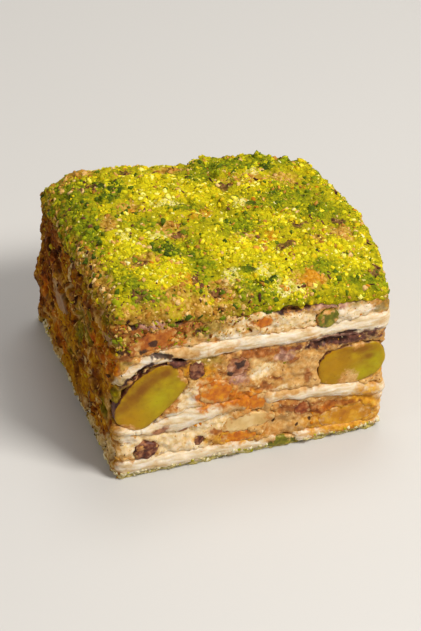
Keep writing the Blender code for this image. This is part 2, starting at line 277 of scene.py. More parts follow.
# %% [markdown]
# ## Marks
#
# No noise puts an orange streak or a dark crack where this piece has one. A mark is a soft oval patch on
# a wall or on the top, given in millimetres: where it is along the wall, how high up, its half length,
# its half height and its turn in degrees. The marks of one kind make a field: 2 in the middle of a mark,
# 1 on its rim, and 0 from a full width further out. The materials add noise to a field before they cut it
# off at 1, so the patches end raggedly. The dark marks are painted shade: near black where holes, cracks
# and the gap under the coat's hem lie in shade, over shallow dents.

# %% Marks on the front, read off the photograph

FRONT_MARKS = {
    "white": [
        (-20.9, 22.8, 3.6, 0.9, 36),
        (-10.8, 14.2, 3.0, 0.9, 66),
        (-12.9, 11.4, 4.4, 1.6, 19),
        (-2.5, 24.2, 5.5, 1.7, -3),
        (17.0, 24.2, 4.6, 1.5, -4),
        (17.4, 26.3, 4.6, 1.3, -7),
        (17.8, 9.4, 2.8, 1.1, -12),
        (-18.0, 2.6, 6.0, 1.6, 1),
        (10.5, 1.0, 4.0, 0.6, 0),
        (-22.6, 8.6, 1.6, 1.0, -20),
    ],
    "beige": [
        (-12.6, 24.4, 2.6, 1.2, -15),
        (-1.8, 11.8, 5.0, 2.4, 0),
        (6.8, 15.8, 3.6, 2.6, 0),
        (8.8, 5.0, 3.6, 1.7, 0),
        (6.2, 11.9, 3.6, 0.9, 4),
        (12.0, 12.2, 2.4, 0.6, 0),
        (15.0, 1.6, 5.4, 1.4, 4),
        (4.0, 2.2, 2.4, 0.8, 0),
        (-5.6, 23.6, 1.6, 0.5, 0),
        (9.6, 22.6, 1.4, 0.5, 10),
        (20.8, 10.4, 1.0, 0.8, 0),
    ],
    "cream": [
        (-13.6, 26.0, 2.6, 1.4, 20),
        (-11.2, 15.0, 3.2, 2.0, 55),
        (-17.0, 7.0, 8.0, 2.9, 4),
        (-8.2, 8.8, 4.2, 2.6, 0),
        (-11.0, 6.4, 5.0, 1.8, 8),
        (-12.0, 4.2, 6.0, 1.4, 0),
        (0.6, 28.4, 4.4, 1.3, -6),
        (5.4, 26.4, 5.4, 1.6, -3),
        (-4.6, 26.8, 3.0, 0.8, 0),
        (1.4, 17.4, 2.3, 1.4, 10),
        (-23.4, 9.3, 1.6, 1.6, 0),
        (4.6, 12.6, 3.0, 0.9, 4),
    ],
    "orange": [
        (-7.6, 15.0, 3.4, 3.1, 60),
        (-0.9, 11.6, 2.6, 1.7, 90),
        (-4.0, 13.0, 3.0, 1.5, -20),
        (0.5, 27.9, 1.5, 0.8, -10),
        (-17.4, 28.8, 3.8, 1.9, 10),
        (-13.8, 27.2, 1.8, 1.3, 0),
        (-5.4, 30.2, 1.4, 0.8, 0),
        (12.5, 6.3, 2.6, 0.8, -15),
    ],
    "amber": [
        (-10.0, 20.2, 3.2, 1.8, -20),
        (16.4, 4.2, 7.0, 3.6, 7),
        (19.4, 6.0, 2.8, 4.0, 0),
        (-4.8, 4.6, 5.0, 1.5, -5),
        (-20.0, 12.2, 2.4, 1.0, 30),
    ],
    "olive": [
        (-8.1, 22.0, 2.8, 0.9, -10),
        (-9.5, 29.2, 4.4, 1.9, -8),
        (-15.5, 31.2, 6.0, 1.8, -5),
        (-22.8, 19.0, 1.3, 2.4, 0),
        (-21.5, 30.0, 2.8, 1.8, 0),
        (-23.0, 28.4, 2.2, 3.0, 0),
        (-23.2, 24.6, 1.8, 1.3, 20),
        (-24.2, 17.0, 1.2, 3.0, 0),
        (15.0, 28.4, 5.0, 0.8, -7),
    ],
    "brown": [
        (-1.0, 21.3, 4.0, 0.95, -3),
        (8.3, 7.6, 4.4, 1.5, -18),
        (-3.6, 18.4, 1.8, 1.9, 0),
        (1.4, 14.1, 2.2, 0.7, -28),
        (-5.2, 6.3, 3.8, 0.5, -5),
        (-20.6, 27.8, 2.3, 1.4, 0),
        (-12.6, 29.4, 3.6, 1.0, 8),
        (-19.6, 30.6, 3.0, 1.2, 10),
        (-9.6, 30.8, 2.6, 1.1, 0),
        (-16.0, 26.6, 1.6, 0.6, 0),
        (-22.6, 30.8, 1.8, 1.4, 0),
        (-22.2, 25.8, 2.0, 0.9, 25),
        (4.8, 20.8, 3.4, 0.6, 2),
        (6.4, 18.2, 1.0, 0.6, 30),
        (3.4, 15.2, 1.2, 0.5, -20),
        (9.0, 14.6, 0.7, 1.6, 0),
        (-2.4, 6.0, 1.4, 0.4, -6),
        (-12.6, 8.2, 1.0, 0.4, 15),
        (14.6, 7.2, 3.4, 0.5, -6),
        (-16.6, 9.0, 1.8, 0.7, 18),
    ],
    "purple": [
        (14.6, 21.0, 7.6, 1.5, -1),
        (-20.2, 22.0, 4.0, 0.75, 37),
        (-13.4, 22.4, 1.6, 1.2, -20),
        # Painted shadow under the coat's hem.
        (7.0, 29.1, 4.0, 0.9, 0),
        (-2.8, 19.4, 1.3, 1.4, 0),
    ],
    "pink": [
        (12.8, 21.8, 3.0, 0.6, 1),
        (-17.6, 31.0, 2.0, 0.8, 0),
        (-3.0, 17.0, 1.6, 1.1, -20),
        (12.6, 28.2, 3.4, 0.7, -6),
        (4.8, 19.4, 1.8, 1.0, 10),
    ],
    # Painted shade: near black in holes and cracks, and in the gap under the coat's hem.
    "dark": [
        (-16.2, 24.7, 2.0, 0.50, -16),
        (-13.4, 23.3, 1.7, 0.50, -28),
        (-20.4, 22.0, 3.2, 0.55, 37),
        (-2.8, 19.6, 0.85, 0.95, 0),
        (-4.5, 18.1, 0.6, 0.55, 0),
        # Painted shadow under the coat's hem.
        (6.6, 29.0, 3.2, 0.65, 0),
        (-22.4, 26.9, 0.9, 0.6, -20),
        (-24.2, 27.0, 0.8, 0.9, 0),
        (-19.3, 26.2, 0.8, 0.6, 0),
        (-17.6, 27.4, 0.8, 0.55, 20),
        (-13.2, 30.8, 0.7, 0.6, 0),
        (-20.8, 31.4, 0.8, 0.6, 0),
        (-10.0, 28.2, 0.7, 0.5, 0),
        (12.6, 20.8, 3.4, 0.48, 4),
        (16.0, 22.4, 2.6, 0.42, -2),
        (3.3, 5.9, 0.40, 0.32, 0),
        (7.2, 4.4, 0.36, 0.30, 20),
        (9.6, 4.9, 0.30, 0.25, 0),
        (-6.4, 31.4, 0.9, 0.8, 0),
    ],
}
COVERS = [
    (16.2, 11.6, 1.7, 2.4, 0),
    (9.2, 12.6, 1.7, 1.3, 30),
    (17.6, 19.5, 1.3, 1.1, 0),
    (21.6, 11.4, 2.2, 0.8, 10),
    (-12.6, 19.6, 0.8, 1.6, 30),
    (-22.6, 10.9, 2.0, 0.8, -15),
]
FLESH_MARKS = {
    "lime_flesh": [(-17.2, 15.3, 4.6, 1.9, 46), (18.6, 12.9, 3.0, 1.7, 0), (21.0, 15.2, 1.7, 2.2, 0)],
    "golden_flesh": [(-21.6, 12.4, 3.0, 2.3, 40), (13.4, 15.2, 3.0, 2.8, 0)],
    "rusty_flesh": [
        (-20.2, 18.3, 4.4, 0.9, 46),
        (-15.8, 21.0, 1.5, 0.9, 0),
        (18.6, 18.0, 2.6, 0.8, -8),
        (19.8, 16.3, 0.9, 0.6, 0),
    ],
}
print("The front has", sum(len(marks) for marks in FRONT_MARKS.values()), "marks")

# %% Marks on the other walls

KINDS_OF_MARK = list(FRONT_MARKS)


def strewn(draw, count, along, up, length, height, tilt=10):
    """Marks strewn at random over a stretch of wall, each with its own size and a slight turn."""
    spans = (along, up, length, height)
    return [(*(draw.uniform(*span) for span in spans), draw.gauss(0, tilt)) for _ in range(count)]


def cut_wall_marks(seed):
    """The same kinds of marks as on the front, for a cut wall that the photograph doesn't show."""
    draw = random.Random(seed)
    wide, tall = (-22, 22), (3, 28)
    return {
        "white": strewn(draw, 6, wide, (2, 26), (2.0, 4.5), (0.7, 1.4)),
        "cream": strewn(draw, 15, wide, tall, (2.4, 5.5), (1.2, 2.4)),
        "orange": strewn(draw, 10, wide, tall, (1.2, 3.0), (0.8, 2.2), 30),
        "amber": strewn(draw, 7, wide, (3, 22), (2.0, 4.5), (1.0, 2.6)),
        "olive": strewn(draw, 6, wide, (25, 30), (2.5, 5.0), (0.8, 1.6)),
        "brown": strewn(draw, 10, wide, tall, (1.4, 4.0), (0.6, 1.4)),
        "beige": strewn(draw, 10, wide, (2, 26), (1.6, 4.0), (0.6, 1.4)),
        "purple": strewn(draw, 5, wide, (6, 26), (1.4, 4.0), (0.6, 1.1)),
        "pink": strewn(draw, 4, wide, (8, 26), (1.4, 4.0), (0.6, 1.0)),
        # Painted shade in holes and cracks.
        "dark": strewn(draw, 9, wide, tall, (0.6, 1.8), (0.45, 0.6), 25),
    }


left_draw = random.Random(12)
LEFT_MARKS = {
    "white": [
        (1.6, 24.6, 4.6, 0.45, 100),
        (-8.8, 13.2, 1.6, 0.42, 64),
        (-12.5, 10.9, 3.2, 0.45, 16),
        (-14.0, 2.4, 8.0, 1.5, 0),
        (13.0, 1.8, 6.0, 0.7, 0),
        (-20.6, 5.4, 1.6, 2.6, 0),
    ],
    "cream": [
        (16.0, 6.0, 4.6, 0.6, -24),
        (-15.9, 27.8, 2.8, 1.3, 10),
        (-20.8, 14.0, 1.2, 2.2, 0),
        (15.4, 28.6, 2.4, 0.9, 0),
        (-9.6, 17.4, 2.4, 0.6, 70),
        *strewn(left_draw, 4, (-22, 22), (6, 26), (1.2, 2.6), (0.4, 0.7), 60),
    ],
    "orange": [
        (7.6, 8.4, 3.6, 2.4, 20),
        (-19.4, 22.0, 2.4, 2.2, 60),
        (-22.6, 24.4, 1.2, 2.2, 0),
        (17.6, 12.6, 2.6, 1.4, 60),
        (-13.6, 22.6, 2.6, 1.2, -30),
        (12.6, 18.6, 1.6, 2.6, 0),
    ],
    "amber": [
        (3.4, 4.4, 6.0, 2.8, 0),
        (-5.4, 7.4, 4.4, 2.4, -20),
        (-1.0, 13.0, 3.0, 2.0, 30),
        (-17.0, 17.6, 2.0, 2.8, 0),
        (6.0, 14.4, 1.8, 2.4, 0),
    ],
    "olive": [
        (-8.9, 30.6, 4.0, 1.8, 0),
        (-4.0, 17.4, 2.0, 4.6, 0),
        (9.0, 29.6, 5.0, 2.0, 0),
        (19.6, 26.6, 3.0, 2.4, 0),
        (-17.8, 31.4, 4.0, 1.6, 0),
        (-11.4, 25.0, 2.6, 1.2, 40),
        (-18.6, 12.6, 2.6, 2.0, 0),
        (0.6, 9.0, 2.4, 3.0, 30),
        (-8.6, 20.6, 2.4, 2.4, 0),
    ],
    "brown": [
        (16.4, 15.6, 4.6, 3.2, 0),
        (11.0, 21.6, 4.2, 2.4, 0),
        (18.6, 21.6, 3.4, 2.6, 0),
        (14.6, 25.4, 4.0, 1.8, 0),
        (-11.6, 27.6, 2.6, 1.2, 0),
        (-4.6, 27.4, 2.2, 2.0, 0),
        (-1.6, 8.6, 1.8, 2.6, 0),
        (-14.6, 14.4, 1.6, 2.4, 0),
        (20.6, 7.4, 2.4, 2.8, 0),
        *strewn(left_draw, 5, (-22, 22), (4, 28), (1.2, 2.8), (0.6, 1.2), 60),
    ],
    "beige": strewn(left_draw, 6, (-22, 10), (3, 26), (1.4, 3.2), (0.5, 1.1), 30),
    "purple": strewn(left_draw, 4, (-22, 22), (4, 28), (1.0, 2.4), (0.5, 0.9), 40),
    "pink": [(10.3, 16.9, 1.8, 1.1, 0), (-21.4, 28.4, 1.8, 0.9, 0), (-6.4, 21.6, 1.2, 0.8, 40)],
    # Painted shade in the holes and cracks of the left wall.
    "dark": [
        (11.1, 22.4, 1.3, 0.8, 0),
        (15.0, 21.0, 1.5, 0.9, 20),
        (18.4, 19.4, 1.6, 1.0, 0),
        (8.6, 25.0, 1.2, 0.8, -20),
        (14.2, 16.6, 1.0, 0.7, 0),
        (19.6, 14.0, 1.2, 1.6, 0),
        (-3.8, 29.2, 1.0, 0.7, 0),
        (-4.9, 26.2, 0.9, 1.1, 0),
        (-11.9, 27.2, 1.1, 0.8, 0),
        (-20.1, 27.0, 1.2, 0.8, 0),
        (-2.4, 22.6, 0.6, 1.6, 10),
        (3.8, 20.4, 0.6, 2.2, 8),
        (12.6, 11.6, 1.4, 0.6, 40),
        (-16.2, 19.8, 0.7, 1.2, 0),
        (1.2, 16.4, 0.6, 1.4, 0),
        (-10.8, 5.6, 1.4, 0.5, 10),
    ],
}
WALL_MARKS = {"front": FRONT_MARKS, "right": cut_wall_marks(5), "back": cut_wall_marks(9), "left": LEFT_MARKS}
print("The other walls have", {wall: sum(map(len, marks.values())) for wall, marks in WALL_MARKS.items()})

# %% Fields from marks


def field_of(along, up, marks):
    """2 in the middle of a mark, 1 on its rim and 0 from a full width outside it."""
    field = np.zeros(len(along), np.float32)
    for middle_along, middle_up, half_length, half_height, turn in marks:
        c, s = math.cos(math.radians(turn)), math.sin(math.radians(turn))
        over, above = along - middle_along, up - middle_up
        out = np.hypot((over * c + above * s) / half_length, (above * c - over * s) / half_height)
        field = np.maximum(field, 2 - out)
    return field


def wall_shares(places):
    """How far each place belongs to each wall, from 0 to 1, and how far along that wall it is."""
    x, y = places[:, 0], places[:, 1]
    return {
        "front": (soft_step(-21.4, -22.4, y), x),
        "right": (soft_step(19.6, 21.0, x), y),
        "back": (soft_step(21.6, 22.6, y), x),
        "left": (soft_step(-22.4, -23.6, x), y),
    }


def store_fields(mesh):
    """Keeps the field of every kind of mark on a mesh."""
    places = corner_places(mesh)
    shares = wall_shares(places)
    fields = {}
    for kind in KINDS_OF_MARK:
        parts = []
        for wall, (share, along) in shares.items():
            parts.append(share * field_of(along, places[:, 2], WALL_MARKS[wall][kind]))
        fields[kind] = np.maximum.reduce(parts)
        store(mesh, kind, fields[kind])
    return fields


print("Kinds of mark:", ", ".join(KINDS_OF_MARK))

# %% [markdown]
# ## The cut
#
# The filling is ground nuts and fruit bound with syrup, and the ribbons are whipped white nougat. The
# knife smears one over the other, so both take the same finish, and a field called nougat, measured on
# the mesh, says which of the two shows. Over them go the marks: cream, orange and amber fruit, olive
# dust, brown skins, pink nut, and dark holes and cracks, which are painted shade. The left wall was
# dragged against the next piece and dusted, so it turns olive brown, and it is also painted darker as
# shade, because it faces away from the light.

# %% Finish of the cut


def dust_and_shade_share(finish):
    """Where the left wall carries dust and painted shade: 1 on it and 0 elsewhere, with a ragged border."""
    ragged = finish.between(finish.noise(1.6, shift=3.0), 0.3, 0.7, -0.0010, 0.0010)
    edge = finish.sum("ADD", finish.axis("X"), ragged)
    return finish.between(edge, -0.0244, -0.0230, 1.0, 0.0)


def ragged_noise(finish, size=1.3, reach=0.45):
    """A number about 0 that makes the edge of a patch ragged."""
    broad = finish.between(finish.noise(size, detail=3, shift=2.5), 0.3, 0.7, -reach, reach)
    fine = finish.between(finish.noise(0.5, detail=2, shift=4.5), 0.3, 0.7, -reach * 0.4, reach * 0.4)
    return finish.sum("ADD", broad, fine)


def patch(finish, under, field, over, waver, soft=0.14, most=1.0):
    """A colour laid over another where a field passes 1, with a ragged edge."""
    ragged = finish.sum("ADD", finish.attribute(field), waver)
    return finish.mix(finish.between(ragged, 1 - soft, 1 + soft, 0.0, most), under, over)


def paste_colour(finish):
    """The plain paste between the marks: beige with warmer and paler clouds, a few ground grains and dark
    pore spots painted as shade.
    """
    broad = finish.ramp(
        finish.noise(4.2, detail=3, shift=1.0, wander=0.4),
        (0.30, tone("AE6C36")),
        (0.43, tone("C08A50")),
        (0.55, tone("D0A468")),
        (0.70, tone("E4C692")),
    )
    grains = finish.ramp(
        finish.noise(0.55, detail=4, shift=11.0),
        (0.30, tone("96562A")),
        (0.48, tone("C4925A")),
        (0.66, tone("ECD2A2")),
    )
    colour = finish.mix(0.42, broad, grains)
    # Painted shade: dark brown spots in the paste's small pore holes.
    pore_shade = finish.between(finish.noise(0.42, detail=2, shift=13.0), 0.64, 0.70, 0.0, 0.7)
    return finish.mix(pore_shade, colour, tone("6E3A1C"))


def cut_finish(name, roughness, specular=0.22):
    finish = Finish(name, roughness=roughness, soft=0.22, soft_depth=0.8, specular=specular)
    waver = ragged_noise(finish)
    mottle = finish.noise(0.8, detail=4, shift=6.5)
    fibre = finish.noise(0.7, detail=3, place=finish.stretched(0.3, 0.3, 1.4), shift=7.5)

    def tints(dark, middle, light, value=mottle):
        return finish.ramp(value, (0.32, tone(dark)), (0.5, tone(middle)), (0.68, tone(light)))

    colour = paste_colour(finish)
    colour = patch(finish, colour, "cream", tints("DCBC84", "EED6AC", "FAECD4"), waver, most=0.95)
    whipped = finish.ramp(
        fibre,
        (0.28, tone("C6A274")),
        (0.42, tone("DCC6A2")),
        (0.56, tone("EBDDC6")),
        (0.75, tone("FAF2E6")),
    )
    colour = patch(finish, colour, "nougat", whipped, waver, soft=0.22)
    stain = finish.between(finish.noise(2.4, detail=4, shift=8.0, wander=0.5), 0.56, 0.70, 0.0, 0.6)
    colour = finish.mix(stain, colour, tints("B8803F", "CE9E5E", "DDB880"))
    colour = patch(finish, colour, "beige", tints("B88448", "CEA26A", "E2C292"), waver, soft=0.3, most=0.9)
    colour = patch(finish, colour, "amber", tints("AE721A", "CC9230", "E2B254"), waver, soft=0.3, most=0.92)
    colour = patch(finish, colour, "orange", tints("A05614", "C67826", "DC9A46"), waver, soft=0.25, most=0.95)
    colour = patch(finish, colour, "olive", tints("5E4E14", "8C7430", "B49C58"), waver, soft=0.35, most=0.8)
    colour = patch(finish, colour, "brown", tints("6A3216", "97562E", "B87C50"), waver, soft=0.3, most=0.85)
    colour = patch(finish, colour, "purple", tints("2E1614", "5A3230", "84584C"), waver, soft=0.25, most=0.95)
    colour = patch(finish, colour, "pink", tints("8A5F56", "B98E7C", "D8B8A2"), waver, soft=0.25, most=0.9)
    # The left wall: olive brown dust dragged over it, painted darker as shade because the wall faces away
    # from the light, with darker copies of every mark.
    broad = finish.noise(2.2, detail=5, place=finish.stretched(1.2, 1.2, 0.7), shift=4.0, wander=0.7)
    narrow = finish.noise(0.7, detail=3)
    dragged = finish.sum("ADD", finish.sum("MULTIPLY", broad, 0.6), finish.sum("MULTIPLY", narrow, 0.4))
    dusted_and_shaded = finish.ramp(
        dragged,
        (0.34, tone("2A1202")),
        (0.44, tone("6C3806")),
        (0.51, tone("94600E")),
        (0.58, tone("AE8024")),
        (0.66, tone("D2AA60")),
    )
    dusted_and_shaded = patch(finish, dusted_and_shaded, "nougat", tints("8A6A38", "AE8E56", "CCB07C"), waver, soft=0.35, most=0.2)
    dusted_and_shaded = patch(finish, dusted_and_shaded, "olive", tints("34340A", "62600E", "8E8620"), waver, soft=0.4, most=0.8)
    dusted_and_shaded = patch(finish, dusted_and_shaded, "amber", tints("8A5C10", "AE7E1E", "C89C3C"), waver, soft=0.4, most=0.75)
    dusted_and_shaded = patch(finish, dusted_and_shaded, "orange", tints("8C3E08", "B46418", "D08A3C"), waver, soft=0.4, most=0.85)
    dusted_and_shaded = patch(finish, dusted_and_shaded, "brown", tints("2A1204", "5C2E0C", "88501E"), waver, soft=0.4, most=0.85)
    dusted_and_shaded = patch(finish, dusted_and_shaded, "pink", tints("7C5C40", "A08464", "C4AC88"), waver, soft=0.3, most=0.8)
    dusted_and_shaded = patch(finish, dusted_and_shaded, "cream", tints("9E783E", "C29C60", "DCBC88"), waver, soft=0.35, most=0.75)
    dusted_and_shaded = patch(finish, dusted_and_shaded, "white", tints("A08250", "C8AE7C", "E4D0A8"), waver, soft=0.35, most=0.85)
    colour = finish.mix(dust_and_shade_share(finish), colour, dusted_and_shaded)
    # Painted shade: near black in holes and cracks, and under the coat's hem.
    colour = patch(finish, colour, "dark", tints("1E0C08", "351A12", "5A3424"), waver, soft=0.2, most=0.92)
    finish.colour(colour)
    finish.rough(finish.between(finish.noise(1.1, shift=7.0), 0.35, 0.7, roughness - 0.12, roughness + 0.2))
    finish.bump(finish.noise(0.35, detail=4), 0.08)
    return finish.material


paste = cut_finish("nut_paste", 0.50)
nougat = cut_finish("white_nougat", 0.44)
# The left wall's finish, with almost no gloss. Its colour holds the same dust and painted shade.
dusty_side = cut_finish("dusty_side", 0.66, specular=0.03)
print("Made the finishes", paste.name, nougat.name, dusty_side.name)

# %% [markdown]
# ## The pistachio coat
#
# From a little way off the top is yellow green. Closer up it comes in patches a few millimetres wide:
# lemon yellow, yellow green, leaf green, tan, and a few dark green and purple brown bits, and the coat is
# tan and thin at a notch in the front edge. The lemon patches also carry painted highlight where the top
# catches the light, and the pale patches are painted highlights. Marks set those patches too, on the coat
# itself and on the crumbs that lie on it.

# %% Marks on the top

TOP_MARKS = {
    "leafy": [
        (-15.0, 12.0, 3.6, 2.6, 30), (-10.7, -9.1, 2.8, 2.2, 0), (0.8, -15.7, 2.2, 1.4, 0),
        (0.6, -20.8, 4.4, 2.2, 0), (6.0, 17.0, 5.5, 2.6, 0), (2.2, 14.0, 3.0, 1.8, 0),
        (14.6, 5.0, 3.8, 3.0, 20), (18.0, -1.0, 3.2, 3.0, 0), (13.1, -17.4, 3.0, 1.8, 0),
        (19.4, -20.8, 3.6, 1.6, 0), (-21.7, 13.0, 2.8, 6.0, 0), (-21.8, 2.0, 2.0, 6.0, 0),
        (-12.3, -0.6, 2.6, 1.6, 0), (3.4, -3.4, 3.6, 1.8, 20), (-6.2, -12.0, 1.8, 5.0, 0),
        (-17.0, -20.4, 3.0, 1.2, 0), (16.0, 18.0, 4.0, 3.0, 0), (-4.0, 3.5, 2.0, 1.4, 0),
        (10.0, 0.8, 2.4, 1.4, 0), (-19.0, -16.0, 1.8, 3.0, 0),
    ],
    "deep": [
        (-14.4, 12.6, 2.6, 1.6, 10), (-15.9, 9.0, 1.6, 1.3, 0), (-10.7, -9.1, 2.1, 1.6, 0),
        (0.8, -15.7, 1.2, 0.8, 0), (2.4, -19.8, 1.2, 0.8, 0), (7.4, 2.2, 1.2, 0.8, 0),
        (18.6, -14.8, 0.9, 0.7, 0), (14.0, 14.0, 1.4, 0.9, 0),
    ],
    "tan": [
        (-19.0, 20.0, 3.6, 2.0, 0), (-13.1, 6.1, 2.0, 1.4, 0), (-16.1, -11.1, 2.2, 1.5, 0),
        (-8.7, -2.4, 2.2, 2.4, 0), (8.8, 10.6, 3.0, 1.6, 0), (15.2, 9.7, 2.8, 1.8, 0),
        (19.8, -8.7, 1.8, 2.2, 0), (-5.2, -20.0, 2.6, 3.4, 0), (-8.4, -22.2, 5.4, 2.2, 0),
        (-19.0, -23.4, 5.0, 1.5, 0), (9.8, -20.2, 2.4, 1.8, 0), (3.4, -6.6, 1.8, 1.2, 0),
        (-18.0, 1.0, 1.4, 2.0, 0), (-2.6, 18.5, 3.0, 1.4, 0), (-23.6, -10.0, 1.4, 8.0, 0),
        (15.0, -10.0, 1.6, 1.1, 30), (-13.0, -19.5, 1.8, 1.0, 0),
    ],
    "rusty": [
        (-1.9, 1.2, 2.0, 1.3, 20), (-9.5, -16.8, 1.9, 1.4, 0), (-14.2, 4.2, 1.4, 0.9, 0),
        (10.4, -19.8, 1.6, 1.2, 0), (6.4, -8.4, 1.6, 1.0, 30), (17.0, 7.0, 1.2, 0.9, 0),
    ],
    "skins": [
        (13.1, -4.9, 1.6, 1.1, 0), (8.8, -11.0, 1.4, 1.2, 0), (-16.6, -11.7, 1.3, 0.9, 0),
        (-8.2, -16.9, 1.0, 2.2, 0), (-18.8, -20.3, 1.2, 1.4, 0), (-5.6, -19.0, 1.1, 1.0, 0),
        (-7.6, -4.0, 1.3, 1.0, 0), (20.6, -4.6, 1.2, 1.2, 0), (4.8, 8.6, 1.2, 0.8, 0),
        (-18.6, 14.6, 1.6, 1.0, 0), (22.0, -19.0, 1.0, 1.0, 0), (-10.6, 17.4, 1.5, 0.9, 0),
    ],
    # Painted highlights: pale spots where the moist crumbs glint.
    "pale": [
        (5.6, 3.0, 1.2, 1.0, 0), (-11.2, -4.2, 1.4, 1.0, 0), (3.4, -17.7, 1.6, 1.9, 0),
        (5.8, -21.2, 2.2, 1.1, 0), (-2.2, -16.5, 1.2, 1.8, 0), (-6.7, 5.5, 2.6, 0.9, -20),
        (11.0, 12.4, 1.4, 0.8, 0), (-16.8, -3.0, 1.1, 1.4, 0),
    ],
    # Lemon yellow coat, with painted highlight where the top catches the light.
    "lemon": [
        (-7.4, 13.0, 4.8, 2.8, 0), (-1.6, 7.5, 3.4, 2.4, 0), (11.2, 8.7, 4.6, 2.4, 0),
        (1.1, -9.9, 5.5, 3.6, 0), (16.4, -12.6, 4.2, 3.0, 0), (-16.5, -5.8, 2.8, 3.6, 0),
        (-13.6, -14.6, 4.0, 3.2, 0), (4.0, -18.2, 4.0, 3.2, 0), (8.0, -14.6, 4.0, 2.4, 0),
        (-9.0, 8.0, 3.0, 2.0, 0), (10.0, -2.6, 3.0, 2.0, 0), (18.0, -18.0, 3.0, 2.0, 0),
    ],
}
GROOVES = [
    (-7.4, -8.0, 6.5, 1.7, 98),
    (-5.8, -18.4, 4.6, 1.9, 96),
    (6.0, -3.6, 5.0, 1.3, 20),
    (1.0, 3.6, 4.0, 1.2, -70),
]


def top_field(places, marks):
    """The field of some top marks. It fades out down the walls, below 29 mm."""
    return soft_step(26.0, 29.0, places[:, 2]) * field_of(places[:, 0], places[:, 1], marks)


def store_top_fields(mesh):
    """Keeps the field of every kind of top mark on a mesh."""
    places = corner_places(mesh)
    fields = {kind: top_field(places, marks) for kind, marks in TOP_MARKS.items()}
    for kind, field in fields.items():
        store(mesh, kind, field)
    return fields


print("The top has", sum(len(marks) for marks in TOP_MARKS.values()), "marks")

# %% Coat finish


def coat_finish():
    finish = Finish("ground_pistachio", roughness=0.8, soft=0.12, soft_depth=0.5, specular=0.12)
    waver = ragged_noise(finish, size=1.5, reach=0.6)
    mottle = finish.noise(0.6, detail=4, shift=6.5)

    def tints(dark, middle, light):
        return finish.ramp(mottle, (0.32, tone(dark)), (0.5, tone(middle)), (0.68, tone(light)))

    broad = finish.ramp(
        finish.noise(2.6, detail=3, shift=1.5),
        (0.32, tone("5E680C")),
        (0.46, tone("8E8C12")),
        (0.58, tone("B0A41C")),
        (0.70, tone("CEC236")),
    )
    colour = finish.mix(0.5, broad, tints("6E6A0C", "A89C1A", "D6C642"))
    # Lemon patches carry painted highlight as well as yellow coat. Pale patches are painted highlights.
    colour = patch(finish, colour, "lemon", tints("A89C12", "C8BE22", "E6DC52"), waver, soft=0.5, most=0.8)
    colour = patch(finish, colour, "leafy", tints("404E06", "6A760A", "969A1A"), waver, soft=0.5, most=0.85)
    colour = patch(finish, colour, "tan", tints("7C5626", "AE8444", "D0AC70"), waver, soft=0.4, most=0.85)
    colour = patch(finish, colour, "rusty", tints("A06420", "C08838", "D6A85E"), waver, soft=0.3, most=0.85)
    colour = patch(finish, colour, "pale", tints("C4B84C", "DDD486", "F2ECC4"), waver, soft=0.3, most=0.8)
    colour = patch(finish, colour, "deep", tints("303C04", "48580A", "667218"), waver, soft=0.2, most=0.95)
    colour = patch(finish, colour, "skins", tints("3A1E16", "64402E", "8E6650"), waver, soft=0.2, most=0.85)
    low = finish.between(finish.axis("Z"), 0.0, 0.0020, 1.0, 0.0)
    colour = finish.mix(low, colour, tints("B0A05C", "D2C48A", "EEE4C2"))
    # The left shoulder: olive brown dust, painted darker as shade because it faces away from the light.
    shoulder = finish.ramp(mottle, (0.32, tone("442402")), (0.5, tone("986E14")), (0.66, tone("D8B454")))
    colour = finish.mix(finish.sum("MULTIPLY", dust_and_shade_share(finish), 0.7), colour, shoulder)
    # Painted shade: near black in cracks and under the hem, where the dark marks of the walls reach the coat.
    colour = patch(finish, colour, "dark", tints("1E0C08", "351A12", "5A3424"), waver, soft=0.2, most=0.92)
    finish.colour(colour)
    finish.bump(finish.noise(0.3, detail=4), 0.12)
    return finish.material


coat = coat_finish()
print("Made the finish", coat.name)

# %% [markdown]
# ## Kernels, fruit and nuts
#
# A cut pistachio is golden olive and waxy, with a purple brown skin round it. The skin is where the
# surface turns away from the cut, and that is stored on the mesh as a number called cut, from 0 on the
# sides to 1 on the cut. Marks of their own turn the kernels' flesh lime, golden or rusty in places. The
# knife smears paste over the rims of what it cuts, and a field called cover says where.

# %% Finishes of what lies in the paste


def covered(finish, colour, waver):
    """Paste, and dark pits painted as shade, over a piece's own colour, where its fields say."""
    colour = patch(finish, colour, "cover", paste_colour(finish), waver, soft=0.2)
    return patch(finish, colour, "dark", tone("2A130E"), waver, soft=0.25, most=0.9)


def dust_and_shade_over(finish, colour):
    """Olive brown dust, painted darker as shade, over what lies in the left wall."""
    dust = finish.ramp(
        finish.noise(0.9, detail=4, shift=4.0),
        (0.35, tone("4A3010")),
        (0.5, tone("7A5A22")),
        (0.68, tone("9C7C40")),
    )
    return finish.mix(finish.sum("MULTIPLY", dust_and_shade_share(finish), 0.8), colour, dust)


